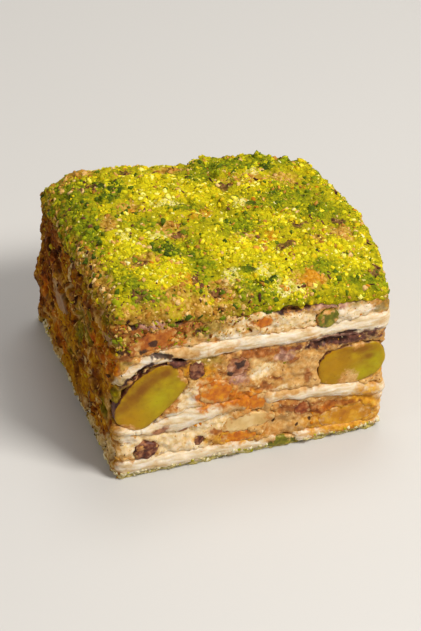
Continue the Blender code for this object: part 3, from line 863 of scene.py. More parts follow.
def kernel_finish():
    finish = Finish("kernel_flesh_and_skin", roughness=0.40, soft=0.3, soft_depth=1.0, specular=0.18)
    waver = ragged_noise(finish, size=0.9, reach=0.3)
    flesh = finish.ramp(
        finish.noise(1.8, detail=5, shift=2.4),
        (0.30, tone("8E6602")),
        (0.50, tone("A27E04")),
        (0.70, tone("B6980C")),
    )
    flesh = patch(finish, flesh, "lime_flesh", tone("B4AA14"), waver, soft=0.8, most=0.75)
    flesh = patch(finish, flesh, "golden_flesh", tone("B48608"), waver, soft=0.8, most=0.75)
    flesh = patch(finish, flesh, "rusty_flesh", tone("7E4C12"), waver, soft=0.6, most=0.75)
    flecks = finish.between(finish.noise(0.5, detail=3, shift=5.0), 0.63, 0.72, 0.0, 0.4)
    flesh = finish.mix(flecks, flesh, tone("6E4A12"))
    skin = finish.ramp(
        finish.noise(0.9, detail=4),
        (0.35, tone("351A1A")),
        (0.5, tone("63392E")),
        (0.65, tone("8A6A3A")),
    )
    waves = finish.between(finish.noise(0.8, shift=7.0), 0.3, 0.7, -0.25, 0.25)
    ragged = finish.sum("ADD", finish.attribute("cut"), waves)
    colour = finish.mix(finish.between(ragged, 0.40, 0.62), skin, flesh)
    finish.colour(covered(finish, colour, waver))
    finish.bump(finish.noise(0.9, detail=4), 0.05)
    return finish.material


def fruit_finish(name, dark, middle, light, roughness, soft, wrinkle=0.08, size=1.1):
    finish = Finish(name, roughness=roughness, soft=soft, soft_depth=1.0, specular=0.32)
    waver = ragged_noise(finish, size=1.3, reach=0.62)
    mottle = finish.noise(size, detail=4)
    colour = finish.ramp(mottle, (0.32, tone(dark)), (0.5, tone(middle)), (0.68, tone(light)))
    finish.colour(dust_and_shade_over(finish, covered(finish, colour, waver)))
    finish.bump(finish.noise(0.5, detail=4), wrinkle)
    return finish.material


kernel = kernel_finish()
currant = fruit_finish("dark_currant", "33150F", "6A3A2A", "A87858", 0.45, 0.12, size=0.8)
cherry = fruit_finish("red_fruit", "6A2E16", "9A5430", "C08A5C", 0.42, 0.2)
apricot = fruit_finish("cut_apricot", "A45812", "C87824", "DE9C42", 0.42, 0.3)
amber = fruit_finish("amber_fruit", "AC7018", "CA902E", "E2B456", 0.40, 0.3, size=2.0)
torn = fruit_finish("torn_fruit", "6E3E28", "A06C4E", "CEA286", 0.42, 0.25, size=1.2)
toasted = fruit_finish("toasted_fruit", "78380E", "AC6428", "CC8E4C", 0.45, 0.25, size=1.3)
cashew = fruit_finish("smooth_nut", "CAA66C", "DEBE88", "ECD4A6", 0.45, 0.25, wrinkle=0.04, size=2.2)
sliver = fruit_finish("green_sliver", "4A4C08", "727014", "A69C44", 0.5, 0.15)
in_the_paste = (kernel, currant, cherry, apricot, amber, torn, toasted, cashew, sliver)
print("Made the finishes", ", ".join(made.name for made in in_the_paste))

# %% [markdown]
# ## Crags by Geometry Nodes
#
# One node tree roughens every layer. It moves each point along its normal by three kinds of noise: broad
# lumps, rounded crumbs from the middle of noise cells, and a fine grain. Swell pushes the whole surface
# out a little, which closes the hairline gaps that the solids keep between them. Two numbers on the mesh
# steer it: dent is how far a point is pressed in, in millimetres, and calm is how smooth it is. Nothing
# is allowed below the floor.

# %% The crag tree


def socket_in(tree, name, kind, default=None):
    made = tree.interface.new_socket(name, in_out="INPUT", socket_type=kind)
    if default is not None:
        made.default_value = default
    return made


class Tree:
    """A Geometry Nodes tree under construction."""

    def __init__(self, name, sizes):
        self.tree = bpy.data.node_groups.new(name, "GeometryNodeTree")
        self.tree.is_modifier = True
        socket_in(self.tree, "Geometry", "NodeSocketGeometry")
        for label, default in sizes.items():
            socket_in(self.tree, label, "NodeSocketFloat", default)
        socket_in(self.tree, "Finish", "NodeSocketMaterial")
        self.tree.interface.new_socket("Geometry", in_out="OUTPUT", socket_type="NodeSocketGeometry")
        self.given = self.add("NodeGroupInput").outputs

    def add(self, kind, **sockets):
        """A node, with its input sockets named by words and given a value or another node's output."""
        node = self.tree.nodes.new(kind)
        for name, value in sockets.items():
            self.set(node.inputs[name.replace("_", " ")], value)
        return node

    def set(self, socket, value):
        if isinstance(value, bpy.types.NodeSocket):
            self.tree.links.new(value, socket)
        else:
            socket.default_value = value

    def maths(self, operation, first, second=0.0):
        node = self.add("ShaderNodeMath")
        node.operation = operation
        self.set(node.inputs[0], first)
        self.set(node.inputs[1], second)
        return node.outputs[0]

    def vector_maths(self, operation, first, second):
        node = self.add("ShaderNodeVectorMath")
        node.operation = operation
        self.set(node.inputs[0], first)
        if operation == "SCALE":
            self.set(node.inputs["Scale"], second)
        else:
            self.set(node.inputs[1], second)
        return node.outputs[0]

    def attribute(self, name):
        node = self.add("GeometryNodeInputNamedAttribute", Name=name)
        node.data_type = "FLOAT"
        return node.outputs[0]

    def end(self, geometry):
        """Real geometry with its finish, as the last nodes of every tree here."""
        real = self.add("GeometryNodeRealizeInstances", Geometry=geometry).outputs[0]
        smooth = self.add("GeometryNodeSetShadeSmooth", Geometry=real).outputs[0]
        dressed = self.add("GeometryNodeSetMaterial", Geometry=smooth, Material=self.given["Finish"])
        self.add("NodeGroupOutput", Geometry=dressed.outputs[0])
        return self.tree


def crag_tree():
    sizes = {
        "Swell": 0.00018,
        "Lump Size": 0.004,
        "Lump Height": 0.0003,
        "Crumb Size": 0.0013,
        "Crumb Height": 0.0002,
        "Grain Size": 0.0005,
        "Grain Height": 0.00005,
        "Flatten": 1.0,
    }
    made = Tree("Crags", sizes)
    given = made.given
    place = made.add("GeometryNodeInputPosition").outputs[0]
    squeeze = made.add("ShaderNodeCombineXYZ", X=1.0, Y=1.0, Z=given["Flatten"]).outputs[0]
    seen = made.vector_maths("MULTIPLY", place, squeeze)

    def waves(label, kind, output):
        scale = made.maths("DIVIDE", 1.0, given[label + " Size"])
        node = made.add(kind, Vector=seen, Scale=scale)
        return node.outputs[output]

    lump = made.maths("SUBTRACT", waves("Lump", "ShaderNodeTexNoise", 0), 0.5)
    grain = made.maths("SUBTRACT", waves("Grain", "ShaderNodeTexNoise", 0), 0.5)
    crumb = made.maths("SUBTRACT", 0.45, waves("Crumb", "ShaderNodeTexVoronoi", "Distance"))
    lively = made.maths("SUBTRACT", 1.0, made.attribute("calm"))
    height = made.maths("SUBTRACT", given["Swell"], made.maths("MULTIPLY", made.attribute("dent"), MM))
    for label, value in (("Lump", lump), ("Crumb", made.maths("MULTIPLY", crumb, lively)), ("Grain", grain)):
        rise = made.maths("MULTIPLY", value, made.maths("MULTIPLY", given[label + " Height"], 2.0))
        height = made.maths("ADD", height, rise)
    normal = made.add("GeometryNodeInputNormal").outputs[0]
    moved = made.vector_maths("ADD", place, made.vector_maths("SCALE", normal, height))
    split = made.add("ShaderNodeSeparateXYZ", Vector=moved).outputs
    above = made.maths("MAXIMUM", split["Z"], 0.0)
    kept = made.add("ShaderNodeCombineXYZ", X=split["X"], Y=split["Y"], Z=above).outputs[0]
    shaped = made.add("GeometryNodeSetPosition", Geometry=given["Geometry"], Position=kept).outputs[0]
    return made.end(shaped)


def apply_tree(piece, tree, inputs):
    """Adds a tree to a piece, sets its inputs by their socket identifiers and settles the result."""
    modifier = piece.modifiers.new(tree.name, "NODES")
    modifier.node_group = tree
    names = {item.name: item.identifier for item in tree.interface.items_tree if item.in_out == "INPUT"}
    for label, value in inputs.items():
        modifier[names[label]] = value
    return settle(piece)


crags = crag_tree()
print("The crag tree has", len(crags.nodes), "nodes")

# %% [markdown]
# ## The eight layers
#
# Each layer is a closed body through the whole block. A voxel remesh gives its plain faces an even net
# fine enough to carry crumbs, and the crag tree roughens it. What lies deep between two layers can't be
# seen, so a Decimate modifier thins the net there and keeps the walls fine. How deep each point lies in
# the nougat, or outside it, is measured from the solids, and becomes the field that tells the finish of
# the cut where nougat shows.

# %% Fine layers

VOXEL = 0.30
CRAGS = {
    "paste": dict(lump=(3.4, 0.85), crumb=(1.4, 0.34), grain=(0.8, 0.42), swell=0.20, flatten=1.0),
    "nougat": dict(lump=(4.2, 0.60), crumb=(1.7, 0.26), grain=(0.8, 0.12), swell=0.32, flatten=1.4),
    "coat": dict(lump=(3.2, 0.85), crumb=(1.7, 0.42), grain=(0.7, 0.20), swell=0.16, flatten=1.0),
}
LAYERS = {
    "base_coat": ("coat", coat, "pistachio_coat"),
    "base_nougat": ("nougat", nougat, "nougat"),
    "lower_filling": ("paste", paste, "paste"),
    "lower_ribbon": ("nougat", nougat, "nougat"),
    "middle_filling": ("paste", paste, "paste"),
    "upper_ribbon": ("nougat", nougat, "nougat"),
    "upper_filling": ("paste", paste, "paste"),
    "top_coat": ("coat", coat, "pistachio_coat"),
}


def surface_of(nodes):
    """One tree of triangles over several frame solids, for finding the nearest point."""
    corners, faces = [], []
    for node in nodes:
        mesh = frame["nodes"][node].data
        start = len(corners)
        corners += [vert.co.copy() for vert in mesh.vertices]
        faces += [[start + i for i in face.vertices] for face in mesh.polygons]
    return BVHTree.FromPolygons(corners, faces)


nougat_surface = surface_of([node for node, (kind, _, _) in LAYERS.items() if kind == "nougat"])
other_surface = surface_of([node for node, (kind, _, _) in LAYERS.items() if kind != "nougat"])

PIECES = [node for node in frame["nodes"] if node not in LAYERS and not node.startswith(("kernel", "green"))]
pieces_surface = surface_of(PIECES)


def near_pieces(mesh):
    """1 beside a piece of fruit or nut, falling to 0 a millimetre and a half away from it."""
    far = 1.5 * MM
    found = [pieces_surface.find_nearest(vert.co, far)[3] for vert in mesh.vertices]
    apart = np.array([far if distance is None else distance for distance in found], np.float32) / MM
    return 1 - soft_step(0.35, 1.4, apart)


NOUGAT_SPREAD = 1.3


def nougat_field(mesh, kind):
    """1 where nougat meets paste, above 1 inside the nougat and below 1 outside it, by 1 for each spread."""
    nearest = other_surface if kind == "nougat" else nougat_surface
    far = 2 * MM
    found = [nearest.find_nearest(vert.co, far)[3] for vert in mesh.vertices]
    apart = np.array([far if distance is None else distance for distance in found], np.float32) / MM
    return 1 + (apart if kind == "nougat" else -apart) / NOUGAT_SPREAD


def mark_layer(piece, kind):
    """Keeps on a layer every field that its finish and its crags read."""
    mesh = piece.data
    fields = store_fields(mesh)
    dent = 0.5 * soft_step(0.9, 1.6, fields["dark"])
    if kind == "coat":
        top = store_top_fields(mesh)
        places = corner_places(mesh)
        dent = dent + 0.8 * soft_step(0.0, 2.0, top_field(places, GROOVES))
        dent = dent - 0.5 * soft_step(0.6, 1.6, top["deep"])
        calm = np.zeros(len(places))
    else:
        whiteness = np.maximum(nougat_field(mesh, kind), fields["white"])
        store(mesh, "nougat", whiteness)
        calm = np.maximum(0.8 * soft_step(0.8, 1.2, whiteness), 0.6 * soft_step(0.7, 1.3, fields["cream"]))
        dent = dent - 0.15 * soft_step(0.8, 1.4, whiteness) - 0.32 * near_pieces(mesh)
        places = corner_places(mesh)
        on_left = soft_step(-23.2, -24.4, places[:, 0])
        pits = 0.9 * soft_step(0.55, 0.72, clouds(places, 2.4, 77))
        holes = 0.4 * soft_step(0.9, 1.6, fields["dark"])
        dent = dent + on_left * (pits + holes)
    store(mesh, "dent", dent)
    store(mesh, "calm", calm)


def make_fine(piece, size):
    """An even net of small faces over the whole piece."""
    remesh = piece.modifiers.new("fine", "REMESH")
    remesh.mode = "VOXEL"
    remesh.voxel_size = size * MM
    remesh.use_smooth_shade = True
    return settle(piece)


def roughen(piece, kind, finish):
    """Gives a piece the crags of its kind."""
    made = CRAGS[kind]
    inputs = {"Swell": made["swell"] * MM, "Flatten": made["flatten"], "Finish": finish}
    for label in ("lump", "crumb", "grain"):
        inputs[label.title() + " Size"] = made[label][0] * MM
        inputs[label.title() + " Height"] = made[label][1] * MM
    return apply_tree(piece, crags, inputs)


LEFT_WALL, RIGHT_WALL, FRONT_WALL, BACK_WALL = -25.0, 21.8, -23.2, 23.2
DEEP = 3.2
THINNED_AWAY = 0.985


def thin_inside(piece, top_shows):
    """Thins the net where the layer lies deep inside the block."""
    places = corner_places(piece.data)
    x, y = places[:, 0], places[:, 1]
    depth = np.minimum.reduce([x - LEFT_WALL, RIGHT_WALL - x, y - FRONT_WALL, BACK_WALL - y])
    inside = depth > DEEP
    if top_shows:
        normals = corner_normals(piece.data)
        inside &= normals[:, 2] < -0.3
    group = piece.vertex_groups.new(name="inside")
    group.add(np.nonzero(inside)[0].tolist(), 1.0, "REPLACE")
    keep = 1 - inside.mean() * THINNED_AWAY
    thin = piece.modifiers.new("thin", "DECIMATE")
    thin.ratio = float(keep)
    thin.vertex_group = "inside"
    settle(piece)
    piece.vertex_groups.clear()
    return piece


DUSTED_BEYOND = -23.6


def dust_the_side(piece):
    """Gives the faces of the left wall the finish without gloss."""
    mesh = piece.data
    mesh.materials.append(dusty_side)
    middles = np.empty(len(mesh.polygons) * 3, np.float32)
    mesh.polygons.foreach_get("center", middles)
    on_left = middles.reshape(-1, 3)[:, 0] / MM < DUSTED_BEYOND
    mesh.polygons.foreach_set("material_index", on_left.astype(np.int32))
    mesh.update()


layers = {}
for node, (kind, finish, slot) in LAYERS.items():
    piece = merged_copy(node, "fine_" + node)
    make_fine(piece, VOXEL)
    mark_layer(piece, kind)
    roughen(piece, kind, finish)
    thin_inside(piece, top_shows=node == "top_coat")
    mark_layer(piece, kind)
    if kind != "coat":
        dust_the_side(piece)
    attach(piece, "root")
    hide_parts(node)
    layers[node] = piece
    print(piece.name, "has", sum(len(face.vertices) - 2 for face in piece.data.polygons), "triangles")

# %% [markdown]
# ## Kernels, fruit and nuts in the cut
#
# These were cut by the same knife, so each lies nearly flush with its wall. The kernels keep clean edges.
# Fruit and nuts are blurred into the paste: the field called cover passes 1 towards their rims, and paste
# shows there.

# %% Pieces in the cut

CRAGS["smooth"] = dict(lump=(3.0, 0.25), crumb=(1.8, 0.06), grain=(0.7, 0.05), swell=0.14, flatten=1.0)
CRAGS["wrinkled"] = dict(lump=(1.6, 0.50), crumb=(0.9, 0.26), grain=(0.4, 0.08), swell=0.30, flatten=1.0)
CRAGS["sticky"] = dict(lump=(2.2, 0.60), crumb=(1.3, 0.22), grain=(0.5, 0.10), swell=0.42, flatten=1.0)
KINDS = {
    "kernel": ("smooth", kernel, "kernel", 1.6, 0.6),
    "currant": ("wrinkled", currant, "currant", 1.35, 0.5),
    "cherry": ("wrinkled", cherry, "currant", 1.0, 0.2),
    "apricot": ("sticky", apricot, "apricot", 0.86, 0.1),
    "cashew": ("sticky", cashew, "cashew", 0.84, 0.1),
    "green": ("sticky", sliver, "sliver", 0.95, 0.3),
}
OUT = {"front": (0, -1, 0), "right": (1, 0, 0), "back": (0, 1, 0), "left": (-1, 0, 0)}


def wall_of(node):
    """Which wall a piece lies in. The front comes first, because its end pieces reach round the corners."""
    low, high = (np.array(corner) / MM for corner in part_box(node))
    if low[1] < -22.9:
        return "front"
    gaps = {"right": 22.8 - high[0], "back": 23.5 - high[1], "left": low[0] + 25.0}
    return min(gaps, key=gaps.get)


def press_flush(piece, wall, proud, deeper):
    """Presses what stands out of the wall back to a share of its height."""
    places = corner_places(piece.data)
    out = places @ np.array(OUT[wall], np.float32)
    reach = np.sort(out)[-max(len(out) // 200, 1)]
    level = reach - 0.45 - deeper
    over = np.clip(out - level, 0, None)
    places -= np.outer(over * (1 - proud), OUT[wall])
    piece.data.vertices.foreach_set("co", (places * MM).astype(np.float32).ravel())
    piece.data.update()


def rim_of(places, wall):
    """How far each point is from the piece's middle, seen square to the wall: 1 on the rim."""
    across = 1 if wall in ("left", "right") else 0
    seen = places[:, [across, 2]]
    low, high = seen.min(axis=0), seen.max(axis=0)
    return np.linalg.norm((seen - (low + high) / 2) / ((high - low) / 2), axis=1)


OWN_FINISH = {"apricot_low_right": amber, "currant_middle": torn, "apricot_upper_left": toasted}
BARE = {
    "apricot_upper_left": 0.9,
    "apricot_middle_left": 0.84,
    "apricot_middle": 0.8,
    "apricot_low_middle": 0.84,
}
DEEPER_IN = {
    "apricot_upper_left": 0.55,
    "cashew_low_middle": 0.25,
    "apricot_low_right": 0.35,
    "cashew_right": 0.2,
}
PIECE_VOXEL = 0.22
inclusions = []
for node in sorted(set(frame["nodes"]) - set(LAYERS)):
    kind, finish, slot, bare, proud = KINDS[node.split("_")[0]]
    finish = OWN_FINISH.get(node, finish)
    piece = merged_copy(node, "fine_" + node)
    make_fine(piece, PIECE_VOXEL)
    soften = piece.modifiers.new("soften", "SMOOTH")
    soften.factor = 0.5
    soften.iterations = 6
    settle(piece)
    roughen(piece, kind, finish)
    wall = wall_of(node)
    facing = corner_normals(piece.data) @ np.array(OUT[wall], np.float32)
    store(piece.data, "cut", facing)
    press_flush(piece, wall, proud, DEEPER_IN.get(node, 0.0))
    places = corner_places(piece.data)
    cover = rim_of(places, wall) / BARE.get(node, bare)
    if wall == "front":
        cover = np.maximum(cover, field_of(places[:, 0], places[:, 2], COVERS))
    store(piece.data, "cover", cover)
    store_fields(piece.data)
    if slot == "kernel":
        for field, marks in FLESH_MARKS.items():
            store(piece.data, field, (wall == "front") * field_of(places[:, 0], places[:, 2], marks))
    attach(piece, "root")
    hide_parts(node)
    inclusions.append(piece)
print("Made", len(inclusions), "kernels, fruits and nuts")

# %% [markdown]
# ## Crumbs
#
# The coat is thousands of ground pistachio crumbs. Each kind is a few small chips, made as the skin round
# a handful of scattered points, and a node tree scatters them over a host surface with its own turn and
# size for every one. A number on the host says how thick they lie there.

# %% Chips


def chip(name, draw, corners, length, thickness):
    """An irregular crumb about 1 mm across: the hull of points scattered over an uneven ball."""
    work = bmesh.new()
    for _ in range(corners):
        way = Vector([draw.gauss(0, 1) for _ in range(3)]).normalized() * draw.uniform(0.80, 1.0)
        work.verts.new((way.x * length * 0.5 * MM, way.y * 0.5 * MM, way.z * thickness * 0.5 * MM))
    hull = bmesh.ops.convex_hull(work, input=list(work.verts))
    bmesh.ops.delete(work, geom=hull["geom_interior"], context="VERTS")
    bmesh.ops.recalc_face_normals(work, faces=work.faces)
    mesh = bpy.data.meshes.new(name)
    work.to_mesh(mesh)
    work.free()
    return bpy.data.objects.new(name, mesh)


def chip_kit(name, count, corners, length, thickness, seed):
    """A collection of a few chips of one sort. It isn't in the scene, so the chips themselves don't show."""
    draw = random.Random(seed)
    kit = bpy.data.collections.new(name)
    for i in range(count):
        kit.objects.link(chip(f"{name}_{i}", draw, corners, length, thickness))
    return kit


ROUND_CHIPS = chip_kit("round_chips", 6, 13, 1.15, 0.75, seed=3)
LONG_CHIPS = chip_kit("long_chips", 5, 12, 2.0, 0.5, seed=8)
GROUND_CHIPS = chip_kit("ground_chips", 5, 8, 1.2, 0.8, seed=5)
KITS = (ROUND_CHIPS, LONG_CHIPS, GROUND_CHIPS)

# %% The scattering tree


def scatter_tree():
    sizes = {"Density": 1000000.0, "Smallest": 0.5, "Largest": 1.2, "Sink": 0.0001, "Seed": 1.0}
    made = Tree("Scatter", sizes)
    socket_in(made.tree, "Chips", "NodeSocketCollection")
    given = made.given
    density = made.maths("MULTIPLY", given["Density"], made.attribute("share"))
    points = made.add(
        "GeometryNodeDistributePointsOnFaces",
        Mesh=given["Geometry"],
        Density=density,
        Seed=given["Seed"],
    )
    chips = made.add(
        "GeometryNodeCollectionInfo",
        Collection=given["Chips"],
        Separate_Children=True,
        Reset_Children=True,
    )
    size = made.add("FunctionNodeRandomValue", Seed=11)
    size.data_type = "FLOAT"
    small = made.maths("POWER", size.outputs[1], 3.0)
    spread = made.maths("SUBTRACT", given["Largest"], given["Smallest"])
    scale = made.maths("ADD", given["Smallest"], made.maths("MULTIPLY", small, spread))
    placed = made.add(
        "GeometryNodeInstanceOnPoints",
        Points=points.outputs["Points"],
        Instance=chips.outputs[0],
        Scale=scale,
    )
    placed.inputs["Pick Instance"].default_value = True
    made.set(placed.inputs["Rotation"], points.outputs["Rotation"])
    low = made.add("ShaderNodeCombineXYZ", X=0.0, Y=0.0, Z=made.maths("MULTIPLY", given["Sink"], -1.0))
    sunk = made.add("GeometryNodeTranslateInstances", Instances=placed.outputs[0], Translation=low.outputs[0])
    sunk.inputs["Local Space"].default_value = True
    turn = made.add("FunctionNodeRandomValue", Seed=23)
    turn.data_type = "FLOAT_VECTOR"
    turn.inputs[0].default_value = (-0.7, -0.7, -3.14)
    turn.inputs[1].default_value = (0.7, 0.7, 3.14)
    turned = made.add("GeometryNodeRotateInstances", Instances=sunk.outputs[0], Rotation=turn.outputs[0])
    turned.inputs["Local Space"].default_value = True
    shade = made.add("FunctionNodeRandomValue", Seed=37)
    shade.data_type = "FLOAT"
    marked = made.add("GeometryNodeStoreNamedAttribute", Geometry=turned.outputs[0], Name="shade")
    marked.data_type = "FLOAT"
    marked.domain = "INSTANCE"
    made.set(marked.inputs["Value"], shade.outputs[1])
    return made.end(marked.outputs[0])


scatter = scatter_tree()
print("The scattering tree has", len(scatter.nodes), "nodes")

# %% [markdown]
# ## Where the crumbs lie
#
# A host is a surface that crumbs are scattered on. It holds only those faces of the fine layers that pass
# a test, such as the ones on the left wall, and it is thrown away once the crumbs are made. The piece
# stands on a board, so crumbs that would hang below the base are pressed flat at the board's top.

# %% Hosts


def host_from(pieces, test, name):
    """The faces of some pieces whose middles, in millimetres, and normals pass a test."""
    work = bmesh.new()
    for piece in pieces:
        work.from_mesh(piece.data)
    work.faces.ensure_lookup_table()
    middles = np.array([face.calc_center_median() for face in work.faces], np.float32) / MM
    normals = np.array([face.normal for face in work.faces], np.float32)
    chosen = test(middles, normals)
    unwanted = [face for face, wanted in zip(work.faces, chosen) if not wanted]
    bmesh.ops.delete(work, geom=unwanted, context="FACES")
    mesh = bpy.data.meshes.new(name)
    work.to_mesh(mesh)
    work.free()
    host = bpy.data.objects.new(name, mesh)
    scene.collection.objects.link(host)
    return host


def crumb_finish(name, stops, roughness=0.7, soft=0.15):
    """A crumb's colour: each crumb has its own shade, and fine mottling runs over it."""
    finish = Finish(name, roughness=roughness, soft=soft, soft_depth=0.4, specular=0.14)
    step = 1 / (len(stops) - 1)
    bands = [(i * step, tone(code)) for i, code in enumerate(stops)]
    wobble = finish.between(finish.noise(0.4, detail=3), 0.3, 0.7, -0.22, 0.22)
    finish.colour(finish.ramp(finish.sum("ADD", finish.attribute("shade"), wobble), *bands))
    finish.bump(finish.noise(0.22, detail=3), 0.05)
    return finish.material


def press_on_board(piece):
    """Flattens what would hang below the base."""
    places = corner_places(piece.data)
    places[:, 2] = np.maximum(places[:, 2], 0)
    piece.data.vertices.foreach_set("co", (places * MM).astype(np.float32).ravel())
    piece.data.update()


def lay_crumbs(name, host, share, per_mm2, sizes, finish, seed, chips=ROUND_CHIPS, sink=0.1):
    """Crumbs of one kind over a host. Share says how thick they lie at each point, from 0 to 1."""
    crumbs = bpy.data.objects.new(name, host.data.copy())
    scene.collection.objects.link(crumbs)
    store(crumbs.data, "share", np.clip(share(corner_places(crumbs.data)), 0, None))
    inputs = {
        "Density": per_mm2 / MM**2,
        "Smallest": sizes[0],
        "Largest": sizes[1],
        "Sink": sink * MM,
        "Seed": float(seed),
        "Chips": chips,
        "Finish": finish,
    }
    apply_tree(crumbs, scatter, inputs)
    press_on_board(crumbs)
    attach(crumbs, "root")
    print(name, "has", sum(len(face.vertices) - 2 for face in crumbs.data.polygons), "triangles")
    return crumbs


def everywhere(places):
    return np.ones(len(places), np.float32)


print("Ready to lay crumbs")

# %% [markdown]
# ## Crumbs on the coat
#
# A fine yellow powder lies over the whole top, and larger crumbs of each colour gather in that colour's
# marks and in clouds of their own. Purple brown scraps of skin and tan bits show most along the front
# edge and on the left shoulder, where the coat is thin. The pale crumbs are painted highlights, and the
# yellow crumbs gather where the lemon marks carry painted highlight.

# %% Top crumbs

top_host = host_from(
    [layers["top_coat"]],
    lambda middles, normals: (normals[:, 2] > -0.25) & (middles[:, 2] > 20),
    "top_host",
)


def thin_edge(places):
    """1 where the coat is thin and brown: along the left half of the front edge and on the left shoulder."""
    front = soft_step(-20.0, -23.0, places[:, 1]) * soft_step(4.0, -3.0, places[:, 0])
    left = soft_step(-20.5, -24.0, places[:, 0])
    return np.clip(front * 0.7 + left, 0, 1)


def near_marks(places, kind):
    return soft_step(0.2, 1.3, field_of(places[:, 0], places[:, 1], TOP_MARKS[kind]))


def gather(kind, seed, ground=0.2, cloud=0.8, size=2.6, away_from=(), edge=0.0):
    """A share that is high in the marks of a kind and in clouds, and low in the marks of other kinds."""

    def share(places):
        amount = ground + near_marks(places, kind) + cloud * soft_step(0.5, 0.72, clouds(places, size, seed))
        for other in away_from:
            amount = amount - 0.8 * near_marks(places, other)
        return np.clip(amount + edge * thin_edge(places), 0.02, 1.5)

    return share


YELLOWS = ("leafy", "tan", "deep", "skins")
TOP_CRUMBS = {
    "powder_yellow": (
        ("AA9A14", "C6B824", "E0D446"),
        4.2,
        (0.26, 0.60),
        gather("lemon", 1, 0.55, 0.5, 3.0, YELLOWS, -0.35),
        GROUND_CHIPS,
    ),
    "powder_green": (
        ("5E6408", "7E800C", "9C981C"),
        3.2,
        (0.26, 0.60),
        gather("leafy", 2, 0.4, 0.6, 3.0, ("lemon", "tan")),
        GROUND_CHIPS,
    ),
    "crumbs_yellow": (
        ("C2A81E", "D6C02E", "E8DA50", "F1EA90"),
        1.1,
        (0.45, 1.5),
        gather("lemon", 3, 0.4, 0.7, 2.4, YELLOWS, -0.3),
        ROUND_CHIPS,
    ),
    "crumbs_lime": (
        ("949214", "AEA61C", "C4BC2C", "D0CA4A"),
        1.0,
        (0.45, 1.5),
        gather("lemon", 4, 0.4, 0.8, 2.0, ("tan", "skins"), -0.2),
        ROUND_CHIPS,
    ),
    "crumbs_leaf": (
        ("4A5A06", "68760C", "889218", "A4A826"),
        0.9,
        (0.45, 1.6),
        gather("leafy", 5, 0.15, 0.8, 2.2, ("lemon",)),
        ROUND_CHIPS,
    ),
    "crumbs_deep": (
        ("344206", "4A5A0C", "5C6C12"),
        0.5,
        (0.5, 1.8),
        gather("deep", 6, 0.04, 0.35, 2.0),
        ROUND_CHIPS,
    ),
    "crumbs_tan": (
        ("9C6E34", "B8884A", "CEA464", "E0C28E"),
        1.0,
        (0.35, 1.5),
        gather("tan", 7, 0.12, 0.6, 2.2, (), 0.3),
        ROUND_CHIPS,
    ),
    "crumbs_rusty": (
        ("A86A26", "C48638", "D6A45A"),
        0.9,
        (0.35, 1.3),
        gather("rusty", 8, 0.02, 0.25, 2.0),
        ROUND_CHIPS,
    ),
    "crumbs_skin": (
        ("3A2018", "5C382A", "7E5640"),
        0.9,
        (0.30, 1.2),
        gather("skins", 9, 0.05, 0.3, 2.0, (), 0.35),
        LONG_CHIPS,
    ),
    # Painted highlights: pale crumbs that stand in for glints on the moist coat.
    "crumbs_pale": (
        ("D6CA70", "E6DC98", "F2ECC4"),
        0.6,
        (0.35, 1.1),
        gather("pale", 10, 0.02, 0.2, 2.2),
        ROUND_CHIPS,
    ),
}
for number, (name, (stops, thickness, sizes, share, chips)) in enumerate(TOP_CRUMBS.items()):
    finish = crumb_finish(name, stops)
    lay_crumbs(name, top_host, share, thickness, sizes, finish, number + 1, chips)
bpy.data.objects.remove(top_host)

# %% [markdown]
# ## Dust on the left wall
#
# The left wall was pressed against the next piece and dusted, so olive and brown dust and thin flakes
# stick to it.

# %% Left wall crumbs

left_host = host_from(
    list(layers.values()),
    lambda middles, normals: (normals[:, 0] < -0.35) & (middles[:, 0] < -22.5),
    "left_host",
)


def high_up(places):
    return 0.12 + 0.88 * soft_step(18.0, 30.0, places[:, 2])


LEFT_CRUMBS = {
    "left_dust_olive": (("62500A", "8A7012", "AE9226"), 0.9, (0.22, 0.6), high_up, GROUND_CHIPS),
    "left_dust_brown": (("582A08", "80480E", "9E6220"), 0.5, (0.22, 0.6), everywhere, GROUND_CHIPS),
    "left_crumbs_olive": (("78660E", "A08A1C", "C4AA38"), 0.4, (0.35, 1.3), high_up, ROUND_CHIPS),
    "left_flakes_tan": (("A06C30", "BE8C48", "D6AE6C"), 0.2, (0.35, 1.1), everywhere, LONG_CHIPS),
    "left_flakes_dark": (("2A160C", "44280F", "5C3A1A"), 0.16, (0.35, 1.1), everywhere, LONG_CHIPS),
}
for number, (name, (stops, thickness, sizes, share, chips)) in enumerate(LEFT_CRUMBS.items()):
    finish = crumb_finish(name, stops)
    slot, seed = "pistachio_coat", number + 21
    lay_crumbs(name, left_host, share, thickness, sizes, finish, seed, chips, sink=0.14)
bpy.data.objects.remove(left_host)

# %% [markdown]
# ## Nut bits in the cut and crumbs round the base
#
# Small bits of nut, fruit and skin stand out of the paste on the cut walls, and a few green crumbs fell
# on it. Round the foot, pale crumbs stick out of the thin coat under the base.

# %% Cut wall chips

paste_layers = [layers[node] for node in ("lower_filling", "middle_filling", "upper_filling")]
cut_host = host_from(
    paste_layers,
    lambda middles, normals: (np.abs(normals[:, 2]) < 0.8) & (middles[:, 0] > -22.8)
    & ((middles[:, 1] < -20) | (middles[:, 1] > 20) | (middles[:, 0] > 19)),
    "cut_host",
)


def in_clouds(seed, size=3.0):
    def share(places):
        return soft_step(0.45, 0.7, clouds(places, size, seed))

    return share


def near_the_top(places):
    return soft_step(22.0, 30.0, places[:, 2]) + 0.05


